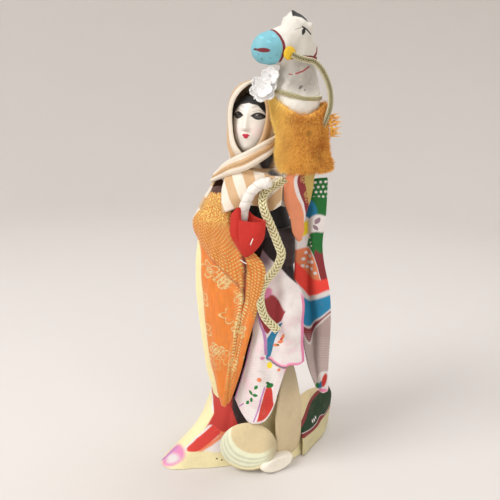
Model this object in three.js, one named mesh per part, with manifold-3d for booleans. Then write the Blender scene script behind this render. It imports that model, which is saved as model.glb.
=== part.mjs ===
// A kimono-clad dancer doll, hooded in a striped scarf, that carries a toy horse's head on a stick.
// Millimetres. The doll faces -Y, its left is +X, it stands on z = 0 and its core post is the Z axis.
import * as THREE from "three";
import { mergeVertices } from "three/addons/utils/BufferGeometryUtils.js";
import Module from "manifold-3d";

const wasm = await Module();
wasm.setup();

// Layers
const CLEARANCE = 0.3;
const CLOTH = 1.2;
const THIN_CLOTH = 0.9;

// Wooden base and post
const BASE_RADIUS = 15;
const BASE_THICKNESS = 3;
const BASE_SOCKET_DEPTH = 2;
const POST_RADIUS = 2;
const POST_TOP = 96;

// Stuffed body
const HIP_WIDTH = 25;
const HIP_DEPTH = 20;
const WAIST_WIDTH = 22;
const WAIST_DEPTH = 17;
const SHOULDER_WIDTH = 18;
const SHOULDER_DEPTH = 12;
const HIP_HEIGHT = 40;
const WAIST_HEIGHT = 74;
const CHEST_RISE = 18;
const SHOULDER_HEIGHT = 102;
const NECK_ROOT = 106.5;
const NECK_ROOT_RADIUS = 4.6;

// Sash
const OBI_BOTTOM = 77;
const OBI_HEIGHT = 15;
const OBI_THICKNESS = 1.3;
const KNOT_WIDTH = 16;
const KNOT_HEIGHT = 13;
const KNOT_DEPTH = 5;
const KNOT_CORNER = 2.5;

// Skirt hem
const SKIRT_TOP = 27;
const SKIRT_FLARE = 1.6;

// Head and scarf
const HEAD_X = -0.5;
const HEAD_Y = -4;
const NECK_RADIUS = 3.2;
const NECK_BOTTOM = 108;
const PEG_RADIUS = 1.5;
const PEG_BOTTOM = 100;
const PEG_TOP = 114;
const HAIR_THICKNESS = 1.3;
const WRAP_RADIUS = 12;
const WRAP_BOTTOM = 106.6;
const WRAP_TOP = 112.4;

// Arms
const ARM_RADIUS = 1.7;
const ARM_PLAY = 0.8;
const WIRE_RADIUS = 0.5;

// Sleeves
const SLEEVE_THICKNESS = 2.2;
const CUFF_WALL = 0.9;

// Horse prop
const HORSE_X = 16.4;
const HORSE_Y = -9.4;
const HORSE_HEADING = THREE.MathUtils.degToRad(47);
const STICK_RADIUS = 1.4;
const STICK_BOTTOM = 109;
const STICK_TOP = 141;
const GRIP_RADIUS = 2.9;
const GRIP_BOTTOM = 110.4;
const GRIP_TOP = 116;
const PLUSH_THICKNESS = 1.6;
const BIT_RADIUS = 1.9;
const BIT_THICKNESS = 0.8;
const CORD_RISE = 8;
const CORD_WIDTH = 1.5;
const CORD_THICKNESS = 0.9;

// Gold braid
const BRAID_WIDTH = 2.6;
const BRAID_THICKNESS = 0.9;
const REIN_WIDTH = 2;

const vec = (x, y, z) => new THREE.Vector3(x, y, z);
const smooth = (points, closed = false) => new THREE.CatmullRomCurve3(points, closed, "catmullrom", 0.5);

// A closed skin over rings that run counter-clockwise round the direction of travel.
function loft(rings) {
  const count = rings[0].length;
  const points = rings.flat();
  const index = [];
  for (let i = 0; i + 1 < rings.length; i++) {
    for (let j = 0; j < count; j++) {
      const a = i * count + j;
      const b = i * count + ((j + 1) % count);
      index.push(a, b, b + count, a, b + count, a + count);
    }
  }
  for (const end of [0, rings.length - 1]) {
    const centre = vec(0, 0, 0);
    rings[end].forEach((p) => centre.add(p));
    points.push(centre.divideScalar(count));
    for (let j = 0; j < count; j++) {
      const a = end * count + j;
      const b = end * count + ((j + 1) % count);
      index.push(points.length - 1, end ? a : b, end ? b : a);
    }
  }
  return surface(points, index);
}

function surface(points, index) {
  const geometry = new THREE.BufferGeometry().setFromPoints(points);
  geometry.setIndex(index);
  return geometry;
}

// A ring in a level plane: half width along x, own reach to the front (-Y) and to the back.
function oval(x, y, z, half, front, back, sides) {
  return Array.from({ length: sides }, (_, j) => {
    const t = (j / sides) * 2 * Math.PI;
    const s = Math.sin(t);
    return vec(x + half * Math.cos(t), y + s * (s > 0 ? back : front), z);
  });
}

function cylinder(radius, bottom, top, sides, x = 0, y = 0) {
  return loft([bottom, top].map((z) => oval(x, y, z, radius, radius, radius, sides)));
}

// A cord or limb: an oval section swept along a curve, closed by small end rings.
function sweep(curve, wide, thick, steps, sides, facing) {
  const tips = [0.35, 0.8];
  const rings = [];
  const ring = (t, shrink, shift) => {
    const tangent = curve.getTangent(t);
    const across = facing ? facing(t).clone() : vec(0, 0, 1);
    across.addScaledVector(tangent, -across.dot(tangent)).normalize();
    const other = tangent.clone().cross(across);
    const centre = curve.getPoint(t).addScaledVector(tangent, shift);
    return Array.from({ length: sides }, (_, j) => {
      const a = (j / sides) * 2 * Math.PI;
      const out = across.clone().multiplyScalar(wide * shrink * Math.cos(a));
      return out.addScaledVector(other, thick * shrink * Math.sin(a)).add(centre);
    });
  };
  tips.forEach((s) => rings.push(ring(0, s, (s - 1) * thick)));
  for (let i = 0; i <= steps; i++) {
    rings.push(ring(i / steps, 1, 0));
  }
  tips.toReversed().forEach((s) => rings.push(ring(1, s, (1 - s) * thick)));
  return loft(rings);
}

// A smooth cloth surface through rows of points; u runs along a row and v from row to row.
function patch(rows) {
  const curves = rows.map((row) => smooth(row.map(([x, y, z]) => vec(x, y, z))));
  return (u, v) => smooth(curves.map((c) => c.getPoint(u))).getPoint(v);
}

// A closed slab of cloth, half its thickness to each side of a surface.
function sheet(point, across, along, thickness) {
  const grid = [];
  for (let i = 0; i <= along; i++) {
    grid.push(Array.from({ length: across + 1 }, (_, j) => point(j / across, i / along)));
  }
  const sides = [1, -1].map((side) => grid.map((row, i) => row.map((p, j) => {
    const du = row[Math.min(j + 1, across)].clone().sub(row[Math.max(j - 1, 0)]);
    const dv = grid[Math.min(i + 1, along)][j].clone().sub(grid[Math.max(i - 1, 0)][j]);
    return p.clone().addScaledVector(du.cross(dv).normalize(), (side * thickness) / 2);
  })));
  const width = across + 1;
  const layer = width * (along + 1);
  const index = [];
  const quad = (a, b, c, d) => index.push(a, b, c, a, c, d);
  for (let i = 0; i < along; i++) {
    for (let j = 0; j < across; j++) {
      const a = i * width + j;
      quad(a, a + 1, a + width + 1, a + width);
      quad(layer + a, layer + a + width, layer + a + width + 1, layer + a + 1);
    }
  }
  for (let j = 0; j < across; j++) {
    const last = along * width + j;
    quad(j + 1, j, layer + j, layer + j + 1);
    quad(last, last + 1, layer + last + 1, layer + last);
  }
  for (let i = 0; i < along; i++) {
    const a = i * width;
    const b = a + across;
    quad(a, a + width, layer + a + width, layer + a);
    quad(b + width, b, layer + b, layer + b + width);
  }
  return surface(sides.flat(2), index);
}

function solid(geometry) {
  const bare = geometry.clone();
  bare.deleteAttribute("normal");
  bare.deleteAttribute("uv");
  const welded = mergeVertices(bare, 1e-4);
  const vertProperties = Float32Array.from(welded.attributes.position.array);
  const triVerts = Uint32Array.from(welded.index.array);
  return new wasm.Manifold(new wasm.Mesh({ numProp: 3, vertProperties, triVerts }));
}

function shape(manifold) {
  const mesh = manifold.getMesh();
  const geometry = new THREE.BufferGeometry();
  geometry.setAttribute("position", new THREE.BufferAttribute(Float32Array.from(mesh.vertProperties), 3));
  geometry.setIndex(new THREE.BufferAttribute(Uint32Array.from(mesh.triVerts), 1));
  return geometry;
}

const cut = (body, ...tools) => shape(tools.reduce((rest, tool) => rest.subtract(solid(tool)), solid(body)));
const join = (body, ...others) => shape(others.reduce((sum, other) => sum.add(solid(other)), solid(body)));

const group = new THREE.Group();
group.name = "dancer_doll";
const horse = new THREE.Group();
horse.name = "horse_prop";
horse.position.set(HORSE_X, HORSE_Y, 0);
horse.rotation.z = -HORSE_HEADING;
group.add(horse);

function piece(name, geometry, color, roughness, metalness = 0, owner = group) {
  geometry.computeVertexNormals();
  const material = new THREE.MeshStandardMaterial({ color, roughness, metalness });
  const mesh = new THREE.Mesh(geometry, material);
  mesh.name = name;
  owner.add(mesh);
}

// Stuffed body: oval stations from the base up to the neck root.
const BODY_SIDES = 24;
const STATIONS = [
  { z: BASE_THICKNESS + CLEARANCE, w: HIP_WIDTH / 2 + 0.4, d: HIP_DEPTH / 2 + 0.8, x: 0, y: 0 },
  { z: HIP_HEIGHT, w: HIP_WIDTH / 2, d: HIP_DEPTH / 2, x: 0, y: 0 },
  { z: WAIST_HEIGHT, w: WAIST_WIDTH / 2, d: WAIST_DEPTH / 2, x: 0, y: 0 },
  { z: WAIST_HEIGHT + CHEST_RISE, w: WAIST_WIDTH / 2, d: WAIST_DEPTH / 2, x: 0, y: HEAD_Y / 8 },
  { z: SHOULDER_HEIGHT, w: SHOULDER_WIDTH / 2, d: SHOULDER_DEPTH / 2, x: HEAD_X / 2, y: HEAD_Y / 2 },
  { z: NECK_ROOT, w: NECK_ROOT_RADIUS, d: NECK_ROOT_RADIUS, x: HEAD_X, y: HEAD_Y },
];

function station(z) {
  const upper = Math.max(1, STATIONS.findIndex((s) => s.z >= z));
  const [low, high] = [STATIONS[upper - 1], STATIONS[upper]];
  const t = (z - low.z) / (high.z - low.z);
  const mix = (key) => low[key] + (high[key] - low[key]) * t;
  return { z, w: mix("w"), d: mix("d"), x: mix("x"), y: mix("y") };
}

const bodyRing = (s, grow) => oval(s.x, s.y, s.z, s.w + grow, s.d + grow, s.d + grow, BODY_SIDES);
const raised = (s, rise) => ({ ...s, z: s.z + rise });

function bodyLoft(stations, grow, beyond = 0) {
  const first = raised(stations[0], -beyond);
  const last = raised(stations[stations.length - 1], beyond);
  const rings = beyond ? [first, ...stations, last] : stations;
  return loft(rings.map((s) => bodyRing(s, grow)));
}

const KIMONO_GROW = CLEARANCE + CLOTH;
const KIMONO_STATIONS = STATIONS.slice(0, 5);
const OBI_STATIONS = [station(OBI_BOTTOM), station(OBI_BOTTOM + OBI_HEIGHT)];
const OBI_GROW = KIMONO_GROW + CLEARANCE + OBI_THICKNESS;

// Arms, wound on wires that reach into the torso.
const RIGHT_ARM = smooth([
  vec(-11.2, -9.2, 100),
  vec(-5.5, -13.4, 95.8),
  vec(0.8, -16.4, 93),
  vec(4, -19.2, 96),
  vec(4.9, -19.4, 101.3),
  vec(6.3, -18.5, 105.6),
  vec(8.5, -17.8, 108.3),
  vec(10.8, -17.1, 109.4),
  vec(13, -16.4, 109.1),
]);
const LEFT_ARM = smooth([vec(12.4, -5.4, 101), vec(13.6, -6.6, 104.4), vec(15, -8.1, 108)]);
const arm = (curve, grow, steps) => sweep(curve, ARM_RADIUS + grow, ARM_RADIUS + grow, steps, 8);

function wireCurve(curve, root, reach) {
  const points = [root];
  for (let t = 0; t <= reach; t += reach / 8) {
    points.push(curve.getPoint(t));
  }
  return smooth(points);
}

const RIGHT_WIRE = wireCurve(RIGHT_ARM, vec(-4.5, -4.6, 100.6), 0.92);
const LEFT_WIRE = wireCurve(LEFT_ARM, vec(5.5, -2.6, 99), 0.8);
const wire = (curve, grow, steps) => sweep(curve, WIRE_RADIUS + grow, WIRE_RADIUS + grow, steps, 6);
const rightWireHole = wire(RIGHT_WIRE, CLEARANCE, 18);
const leftWireHole = wire(LEFT_WIRE, CLEARANCE, 10);
const rightArmRoom = arm(RIGHT_ARM, CLEARANCE, 18);
const leftArmRoom = arm(LEFT_ARM, CLEARANCE, 8);

// Wooden base, post and stuffed body
const postHole = cylinder(POST_RADIUS + CLEARANCE, BASE_THICKNESS - BASE_SOCKET_DEPTH, POST_TOP + CLEARANCE, 16);
const pegHole = cylinder(PEG_RADIUS + CLEARANCE, PEG_BOTTOM - CLEARANCE, NECK_ROOT + 1, 16, HEAD_X, HEAD_Y);
const baseDisc = cylinder(BASE_RADIUS, 0, BASE_THICKNESS, 40);
piece("base_disc", cut(baseDisc, postHole), 0xb58a58, 0.7);
const postBottom = BASE_THICKNESS - BASE_SOCKET_DEPTH + CLEARANCE;
piece("core_post", cylinder(POST_RADIUS, postBottom, POST_TOP, 16), 0xc9a374, 0.7);
piece("lower_body", cut(bodyLoft(STATIONS.slice(0, 3), 0), postHole), 0xd8ccb0, 0.9);
const torso = bodyLoft([raised(STATIONS[2], CLEARANCE), ...STATIONS.slice(3)], 0);
piece("torso_core", cut(torso, postHole, pegHole, rightWireHole, leftWireHole), 0xd8ccb0, 0.9);

// Kimono body and sash
const kimonoInner = bodyLoft(KIMONO_STATIONS, CLEARANCE, 1);
const kimonoOuter = bodyLoft(KIMONO_STATIONS, KIMONO_GROW);
piece("kimono_body", cut(kimonoOuter, kimonoInner, rightWireHole, leftWireHole), 0x221f20, 0.85);
const obiInner = bodyLoft(OBI_STATIONS, KIMONO_GROW + CLEARANCE, 1);
const armRoots = [rightWireHole, leftWireHole, rightArmRoom, leftArmRoom];
piece("obi_sash", cut(bodyLoft(OBI_STATIONS, OBI_GROW), obiInner, ...armRoots), 0x4a3238, 0.7);

function roundedPlate(width, height, corner) {
  const x = width / 2;
  const y = height / 2;
  const plate = new THREE.Shape();
  plate.moveTo(-x + corner, -y);
  plate.lineTo(x - corner, -y);
  plate.quadraticCurveTo(x, -y, x, -y + corner);
  plate.lineTo(x, y - corner);
  plate.quadraticCurveTo(x, y, x - corner, y);
  plate.lineTo(-x + corner, y);
  plate.quadraticCurveTo(-x, y, -x, y - corner);
  plate.lineTo(-x, -y + corner);
  plate.quadraticCurveTo(-x, -y, -x + corner, -y);
  return plate;
}

const knotHeight = OBI_BOTTOM + OBI_HEIGHT / 2;
const knotSeat = station(knotHeight);
const knotPlate = roundedPlate(KNOT_WIDTH, KNOT_HEIGHT, KNOT_CORNER);
const knot = new THREE.ExtrudeGeometry(knotPlate, { depth: KNOT_DEPTH, bevelEnabled: false, curveSegments: 4 });
knot.rotateX(Math.PI / 2);
knot.translate(knotSeat.x, knotSeat.y + knotSeat.d + OBI_GROW + CLEARANCE + KNOT_DEPTH, knotHeight);
piece("obi_knot", shape(solid(mergeVertices(knot.deleteAttribute("normal").deleteAttribute("uv")))), 0x4a3238, 0.7);

// Padded skirt hem: how far it reaches over the floor, by the angle from the front towards the left.
const HEM_REACH = [
  [-180, 25], [-135, 20], [-95, 18.5], [-60, 24], [-33, 37.5], [-14, 26], [12, 17.6],
  [45, 17.4], [75, 19.8], [95, 22.4], [120, 27], [150, 29],
];
const hemCurve = smooth(HEM_REACH.map(([angle, reach]) => vec(angle, reach, 0)).concat(vec(180, 25, 0)));
const HEM_SIDES = 36;
const HEM_STEPS = hemCurve.getPoints(400);

function hemReach(angle) {
  const found = HEM_STEPS.findIndex((p) => p.x >= angle);
  return HEM_STEPS[Math.max(found, 0)].y;
}

function hemRing(z, grow) {
  const flare = Math.pow(1 - z / SKIRT_TOP, SKIRT_FLARE);
  const s = station(Math.max(z, STATIONS[0].z));
  return Array.from({ length: HEM_SIDES }, (_, j) => {
    const angle = -180 + (j / HEM_SIDES) * 360;
    const t = THREE.MathUtils.degToRad(angle);
    const w = s.w + KIMONO_GROW + CLEARANCE + CLOTH;
    const d = s.d + KIMONO_GROW + CLEARANCE + CLOTH;
    const near = 1 / Math.hypot(Math.sin(t) / w, Math.cos(t) / d);
    const r = near + (hemReach(angle) - near) * flare + grow;
    return vec(r * Math.sin(t), -r * Math.cos(t), z);
  });
}

const skirt = (grow) => loft([0, 3, 8, 14, 20, SKIRT_TOP].map((z) => hemRing(z, grow)));
const kimonoRoom = bodyLoft(KIMONO_STATIONS, KIMONO_GROW + CLEARANCE, 0.5);
const obiRoom = bodyLoft(OBI_STATIONS, OBI_GROW + CLEARANCE, CLEARANCE);
const baseRoom = cylinder(BASE_RADIUS + CLEARANCE, -1, BASE_THICKNESS + CLEARANCE, 40);
piece("skirt_hem", cut(skirt(0), kimonoRoom, baseRoom), 0xe8dcae, 0.85);
const skirtRoom = skirt(CLEARANCE);

// A rounded petal of folded cloth: a flat ellipsoid that stands on the hem and faces outwards.
function petal(angle, reach, height, half, tall, thick, tilt, lean) {
  const body = new THREE.SphereGeometry(1, 14, 8);
  body.scale(half, thick, tall);
  body.rotateY(THREE.MathUtils.degToRad(tilt));
  body.rotateX(THREE.MathUtils.degToRad(lean));
  body.translate(0, -reach, height);
  body.rotateZ(THREE.MathUtils.degToRad(angle));
  return body;
}

const floorRoom = cylinder(80, -40, 0, 24);
const puff = petal(28, 20, 10, 10.5, 10.8, 1.9, 0, -6);
const puffRoom = petal(28, 20, 10, 10.5 + CLEARANCE, 10.8 + CLEARANCE, 1.9 + CLEARANCE, 0, -6);
const corner = petal(59, 20.6, 2.4, 7.2, 2.6, 3.4, 0, 0);
const cornerRoom = petal(59, 20.6, 2.4, 7.2 + CLEARANCE, 2.6 + CLEARANCE, 3.4 + CLEARANCE, 0, 0);
const side = petal(74, 20.4, 22, 6, 20, 1.5, -14, 3);
const sideRoom = petal(74, 20.4, 22, 6 + CLEARANCE, 20 + CLEARANCE, 1.5 + CLEARANCE, -14, 3);
piece("hem_puff", cut(puff, skirtRoom, floorRoom), 0xe4e4c2, 0.85);
piece("hem_side_petal", cut(side, skirtRoom, puffRoom, floorRoom), 0xd6c49c, 0.85);
piece("hem_corner", cut(corner, skirtRoom, puffRoom, sideRoom, floorRoom), 0xf0e8dc, 0.85);

const trainSurface = patch([
  [[23.6, 2, 0.6], [24.4, 12, 0.6], [24.6, 22, 1], [22.6, 32, 2.4]],
  [[22.6, 2.6, 8], [22.8, 12, 8], [23.4, 21, 8], [23.2, 30.5, 9]],
  [[20.6, 3.2, 16], [21, 12, 16.5], [22.4, 20.5, 15.5], [23.4, 28.5, 14.5]],
  [[19, 4, 23], [20, 11.5, 23], [22, 19.5, 21], [23.4, 26, 18.5]],
]);
piece("back_train", cut(sheet(trainSurface, 8, 7, CLOTH), skirtRoom, sideRoom, floorRoom), 0x6d6a3a, 0.85);

// Printed front panel of the kimono, folded once down its middle into two tails.
const panelSurface = patch([
  [[8.6, -9.9, 89], [9.6, -9.2, 89], [10.6, -8.4, 88.6], [11.4, -7.6, 88.2], [12.3, -6.7, 88]],
  [[8.2, -14, 80], [10.6, -13.4, 80], [13, -11.6, 80], [15, -10.4, 80], [16.8, -9, 79.6]],
  [[7.6, -15.2, 70], [11.2, -15.6, 70], [14.6, -12.2, 70], [18.8, -12, 70.6], [22.8, -8.6, 71]],
  [[6.9, -15.8, 58], [11.6, -16.4, 57], [14.8, -12.6, 59], [19.4, -12.9, 60], [23.7, -8.8, 60]],
  [[4.8, -16.2, 45], [11.6, -16.8, 42], [15.4, -13.4, 48], [20, -13.2, 52], [24.4, -9, 53]],
  [[2.2, -16.2, 25.6], [11, -17, 21.7], [16.4, -15, 26.4], [20.8, -13, 45.6], [25.2, -9.2, 47.6]],
]);
piece("kimono_front_panel", cut(sheet(panelSurface, 10, 8, THIN_CLOTH), obiRoom), 0xece4dc, 0.85);

// Right arm with its hand, bound over a wire
const rightArmPlay = arm(RIGHT_ARM, ARM_PLAY, 18);
piece("right_arm", cut(arm(RIGHT_ARM, 0, 18), rightWireHole), 0xf0ebe4, 0.85);
piece("right_arm_wire", wire(RIGHT_WIRE, 0, 18), 0x8a8c90, 0.4, 0.9);

// Red cuff: an open funnel in the mouth of the right sleeve
const CUFF_RINGS = [
  [6.7, 85, 0.7, 0.6], [6.8, 88, 3.7, 1.7], [6.9, 92, 6, 2.6], [7, 96, 6.3, 3], [7, 99, 6.2, 3],
];
const CUFF_Y = -20.6;
const cuffLoft = (grow, rings) => loft(rings.map(([x, z, w, d]) => (
  oval(x, CUFF_Y, z, w + grow, d + grow, d + grow, 18))));
const cuffTop = CUFF_RINGS[CUFF_RINGS.length - 1];
const cuffHollow = cuffLoft(-CUFF_WALL, [...CUFF_RINGS.slice(1), [cuffTop[0], cuffTop[1] + 1, cuffTop[2], cuffTop[3]]]);
piece("right_cuff", cut(cuffLoft(0, CUFF_RINGS), cuffHollow, rightArmPlay), 0xd5301f, 0.8);
const cuffRoom = cuffLoft(CLEARANCE, CUFF_RINGS);

// Right sleeve: orange brocade bag that hangs from the forearm, with its pale lining behind
const sleeveSurface = patch([
  [[-9.6, -14.9, 105], [-7.8, -15.5, 105], [-6, -15.6, 105], [-4.4, -15.4, 105]],
  [[-12.6, -16.9, 98.5], [-9, -18, 98.5], [-5, -18.1, 98.5], [-1.4, -17.7, 98.5]],
  [[-15.6, -17.9, 92.4], [-10, -19.2, 92], [-4.5, -19.6, 92], [0.8, -19.2, 92]],
  [[-12.2, -18.6, 84], [-5, -20, 83], [3, -19.3, 83], [12.4, -19, 83]],
  [[-11.2, -18.7, 72], [-4, -20.2, 72], [5, -18.9, 72], [12, -19.2, 72]],
  [[-9.4, -18.7, 56], [-3, -20.1, 56], [3, -18.9, 56], [8.4, -19.2, 56]],
  [[-6.2, -18.8, 40], [-2.4, -19.8, 40], [1.4, -19, 40], [5, -19.2, 40]],
  [[-1.9, -18.9, 27], [-1, -19.3, 26.4], [0, -19.2, 26.4], [0.9, -19, 27]],
]);
const sleeve = sheet(sleeveSurface, 8, 12, SLEEVE_THICKNESS);
piece("right_sleeve", cut(sleeve, rightArmPlay, cuffRoom), 0xe87b2c, 0.7);
const SLEEVE_BACK = SLEEVE_THICKNESS / 2 + CLEARANCE + THIN_CLOTH / 2;
const liningSurface = patch([
  [[-14.4, -18.4, 89], [-10, -18.9, 89], [-6, -19.4, 88], [-3, -19.4, 87]],
  [[-15.6, -18, 74], [-10, -18.8, 74], [-6, -19.7, 74], [-3, -20, 74]],
  [[-13.6, -18, 56], [-9, -18.8, 56], [-6, -19.4, 56], [-3, -20, 56]],
  [[-10.4, -18.2, 40], [-7.6, -18.6, 40], [-5, -19, 40], [-3, -19.5, 40]],
  [[-6.6, -18.6, 28], [-5.2, -18.7, 27], [-3.8, -18.9, 27], [-2.6, -19, 28]],
].map((row) => row.map(([x, y, z]) => [x, y + SLEEVE_BACK, z])));
const sleeveRoom = sheet(sleeveSurface, 8, 12, SLEEVE_THICKNESS + 2 * CLEARANCE);
piece("right_sleeve_lining", cut(sheet(liningSurface, 5, 9, THIN_CLOTH), sleeveRoom), 0xf6efc0, 0.85);

// Left arm, and the left hand closed round the stick
piece("left_arm", cut(arm(LEFT_ARM, 0, 8), leftWireHole), 0xf0ebe4, 0.85);
piece("left_arm_wire", wire(LEFT_WIRE, 0, 10), 0x8a8c90, 0.4, 0.9);
const GRIP_MIDDLE = (GRIP_BOTTOM + GRIP_TOP) / 2;
const grip = loft([
  [GRIP_BOTTOM, GRIP_RADIUS * 0.8], [GRIP_MIDDLE, GRIP_RADIUS], [GRIP_TOP, GRIP_RADIUS * 0.8],
].map(([z, r]) => oval(HORSE_X, HORSE_Y, z, r, r, r, 16)));
const stickRoom = cylinder(STICK_RADIUS + CLEARANCE, STICK_BOTTOM - 1, STICK_TOP + CLEARANCE, 16, HORSE_X, HORSE_Y);
piece("left_hand", cut(grip, stickRoom, leftArmRoom), 0xf0ebe4, 0.85);

// Left sleeve: printed cloth that hangs beside the body, and a narrow salmon inner sleeve
const leftSleeveSurface = patch([
  [[11.6, -1.7, 101], [15.6, -1.4, 105.4], [20, -0.6, 109], [24.4, 1.4, 110]],
  [[14.6, -0.6, 93.4], [18.2, 1.4, 96], [21.4, 0.4, 98], [24.4, 2.4, 98]],
  [[15.6, 0.4, 84], [19, 2.4, 84], [21.6, 1, 84], [24, 3, 84]],
  [[16.2, 0.4, 69], [20.2, 2.6, 69], [24, 1.4, 69], [27.8, 3.6, 69]],
  [[19, 1.8, 55], [22.4, 3.6, 55], [25.8, 2.4, 55], [29, 4.2, 55]],
  [[22.4, 2.8, 40], [24.6, 4.2, 40], [26.8, 3.2, 40], [29.4, 4.4, 40]],
  [[26.2, 3.8, 30], [27.4, 4.3, 29], [28.8, 4, 29], [30.2, 4.4, 30]],
]);
piece("left_sleeve", cut(sheet(leftSleeveSurface, 8, 11, CLOTH), kimonoRoom, obiRoom), 0xe6dfd8, 0.85);
const innerSleeveSurface = patch([
  [[15.4, -12.1, 109.8], [17.2, -12.1, 109.8], [19.1, -11.1, 110], [21, -8.4, 110.9], [22.4, -5.2, 112]],
  [[14.6, -9.6, 103], [16, -9.2, 103], [18, -7.6, 103.4], [19.8, -5.6, 104], [21.2, -3.6, 104.4]],
  [[15.6, -7.8, 96.5], [16.6, -6.7, 96.3], [17.7, -5.4, 96.2], [18.8, -4.2, 96.2], [19.8, -3, 96.4]],
  [[17, -6.6, 92], [17.6, -5.9, 91.8], [18.1, -5.1, 91.7], [18.7, -4.2, 91.8], [19.2, -3.2, 92]],
  [[18.2, -5.2, 89], [18.4, -4.9, 88.8], [18.6, -4.5, 88.7], [18.8, -4.1, 88.8], [19, -3.7, 89]],
]);
const innerSleeve = sheet(innerSleeveSurface, 8, 10, THIN_CLOTH);
piece("left_inner_sleeve", cut(innerSleeve, leftArmRoom, obiRoom), 0xea8a5c, 0.85);

// Head: rings of half width, reach to the front and reach to the back
const HEAD_RINGS = [
  [116.8, 1.6, 4.6, 0.6], [118, 3.5, 6.4, 2.6], [121, 5.1, 7.3, 5], [125, 5.9, 7.7, 6.3],
  [129, 6.1, 7.6, 6.7], [132.5, 5.7, 6.7, 6.4], [135.2, 4, 4.4, 4.6], [136.6, 1.6, 1.8, 1.8],
];
const headLoft = (grow, sides) => loft(HEAD_RINGS.map(([z, w, f, b], i) => (
  oval(HEAD_X, HEAD_Y, z + grow * (i / 3.5 - 1), w + grow, f + grow, b + grow, sides))));
const neck = cylinder(NECK_RADIUS, NECK_BOTTOM, 120, 20, HEAD_X, HEAD_Y);
const pegSocket = cylinder(PEG_RADIUS + CLEARANCE, NECK_BOTTOM - 1, PEG_TOP + CLEARANCE, 16, HEAD_X, HEAD_Y);
piece("head", cut(join(headLoft(0, 18), neck), pegSocket), 0xfaf5ee, 0.45);
piece("neck_peg", cylinder(PEG_RADIUS, PEG_BOTTOM, PEG_TOP, 16, HEAD_X, HEAD_Y), 0xc9a374, 0.7);

// An oval window through the front of the head: the face in the hair, and the face in the hood
function faceWindow(half, bottom, top, depth) {
  const outline = new THREE.Shape();
  outline.absellipse(0, 0, half, (top - bottom) / 2, 0, 2 * Math.PI);
  const window = new THREE.ExtrudeGeometry(outline, { depth: 20, bevelEnabled: false, curveSegments: 12 });
  window.rotateX(Math.PI / 2);
  window.translate(HEAD_X, HEAD_Y - depth, (top + bottom) / 2);
  return mergeVertices(window.deleteAttribute("normal").deleteAttribute("uv"));
}

const HAIR_LINE = 131;
const hairWindow = faceWindow(6.6, 113.6, HAIR_LINE, 2.4);
const chinRoom = cylinder(40, 90, 119.5, 24);
piece("hair", cut(headLoft(CLEARANCE + HAIR_THICKNESS, 18), headLoft(CLEARANCE, 18), hairWindow, chinRoom), 0x1e1c1c, 0.6);

const HOOD_RINGS = [
  [112.7, 7.4, 7.2, 7.4], [116, 8.2, 8.6, 8.4], [121, 8.7, 9.6, 9.1], [127, 8.9, 10, 9.6],
  [132, 8.8, 9.6, 9.6], [136, 7.6, 8, 8.4], [138.8, 5.2, 5.2, 6], [140.2, 2.2, 2.2, 2.6],
];
const hoodLoft = (grow) => loft(HOOD_RINGS.map(([z, w, f, b], i) => (
  oval(HEAD_X, HEAD_Y, z + (i ? grow * (i / 3.5 - 1) : 0), w + grow, f + grow, b + grow, 20))));
const hoodWindow = faceWindow(6.6, 116.6, 137.8, 3.4);
const hoodMouth = cylinder(HOOD_RINGS[0][1] - THIN_CLOTH - 0.2, 110, 114, 24, HEAD_X, HEAD_Y);
piece("hood", cut(hoodLoft(0), hoodLoft(-THIN_CLOTH), hoodWindow, hoodMouth), 0xd9b98c, 0.8);

// White flower pinned to the hair
const FLOWER = vec(6.9, -17.3, 138.4);
const FLOWER_TURN = THREE.MathUtils.degToRad(4);
const flowerLobe = (angle, reach, radius) => {
  const lobe = new THREE.SphereGeometry(1, 8, 6);
  lobe.scale(radius, 1.3, radius);
  lobe.translate(reach * Math.sin(angle) * 0.75, 0, reach * Math.cos(angle));
  lobe.rotateZ(FLOWER_TURN);
  lobe.translate(FLOWER.x, FLOWER.y, FLOWER.z);
  return lobe;
};
const lobes = Array.from({ length: 6 }, (_, i) => flowerLobe((i / 6) * 2 * Math.PI, 3.1, 2.1));
const pin = sweep(new THREE.LineCurve3(FLOWER, vec(2.6, -11.2, 134.9)), 0.6, 0.6, 2, 6);
const hairRoom = headLoft(CLEARANCE + HAIR_THICKNESS + CLEARANCE, 18);
const hoodRoom = cut(hoodLoft(CLEARANCE), hoodWindow);
const flower = join(flowerLobe(0, 0, 2.4), ...lobes, pin);
piece("hair_flower", cut(flower, hairRoom, hoodRoom), 0xf4f1ea, 0.8);

// Scarf below the hood: wrap, bib, tail and the drape over the right shoulder
const wrapRings = [
  [WRAP_BOTTOM, -0.8], [WRAP_BOTTOM + 1.2, 0], [WRAP_TOP - 2, -1.2], [WRAP_TOP, -3.2],
];
const wrapRing = (z, r) => oval(HEAD_X, HEAD_Y, z, r, r, r, 28);
const wrapBody = loft(wrapRings.map(([z, less]) => wrapRing(z, WRAP_RADIUS + less)));
const neckRoom = cylinder(NECK_ROOT_RADIUS + CLEARANCE, 100, 120, 24, HEAD_X, HEAD_Y);
piece("neck_wrap", cut(wrapBody, neckRoom), 0xe0c69c, 0.8);
const bibSurface = patch([
  [[-7.4, -15, 110], [-0.4, -16.2, 110.4], [7, -14.6, 110.4]],
  [[-5.4, -18, 105], [0.4, -18, 105.4], [6, -16.6, 106]],
  [[-2.9, -20.4, 98.8], [1.2, -19.2, 100.4], [5.2, -16.8, 102.4]],
]);
piece("scarf_bib", cut(sheet(bibSurface, 8, 7, THIN_CLOTH), rightArmRoom), 0xe6cfa4, 0.8);
const tailSurface = patch([
  [[8.8, -11.9, 110.6], [11.6, -12.2, 110.8], [14.4, -12.1, 111]],
  [[9.2, -12.5, 105], [11.9, -12.5, 105.4], [14.4, -12.2, 106]],
  [[9.8, -12.8, 99.4], [12.1, -12.7, 100.4], [14.3, -12.3, 102]],
]);
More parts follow.
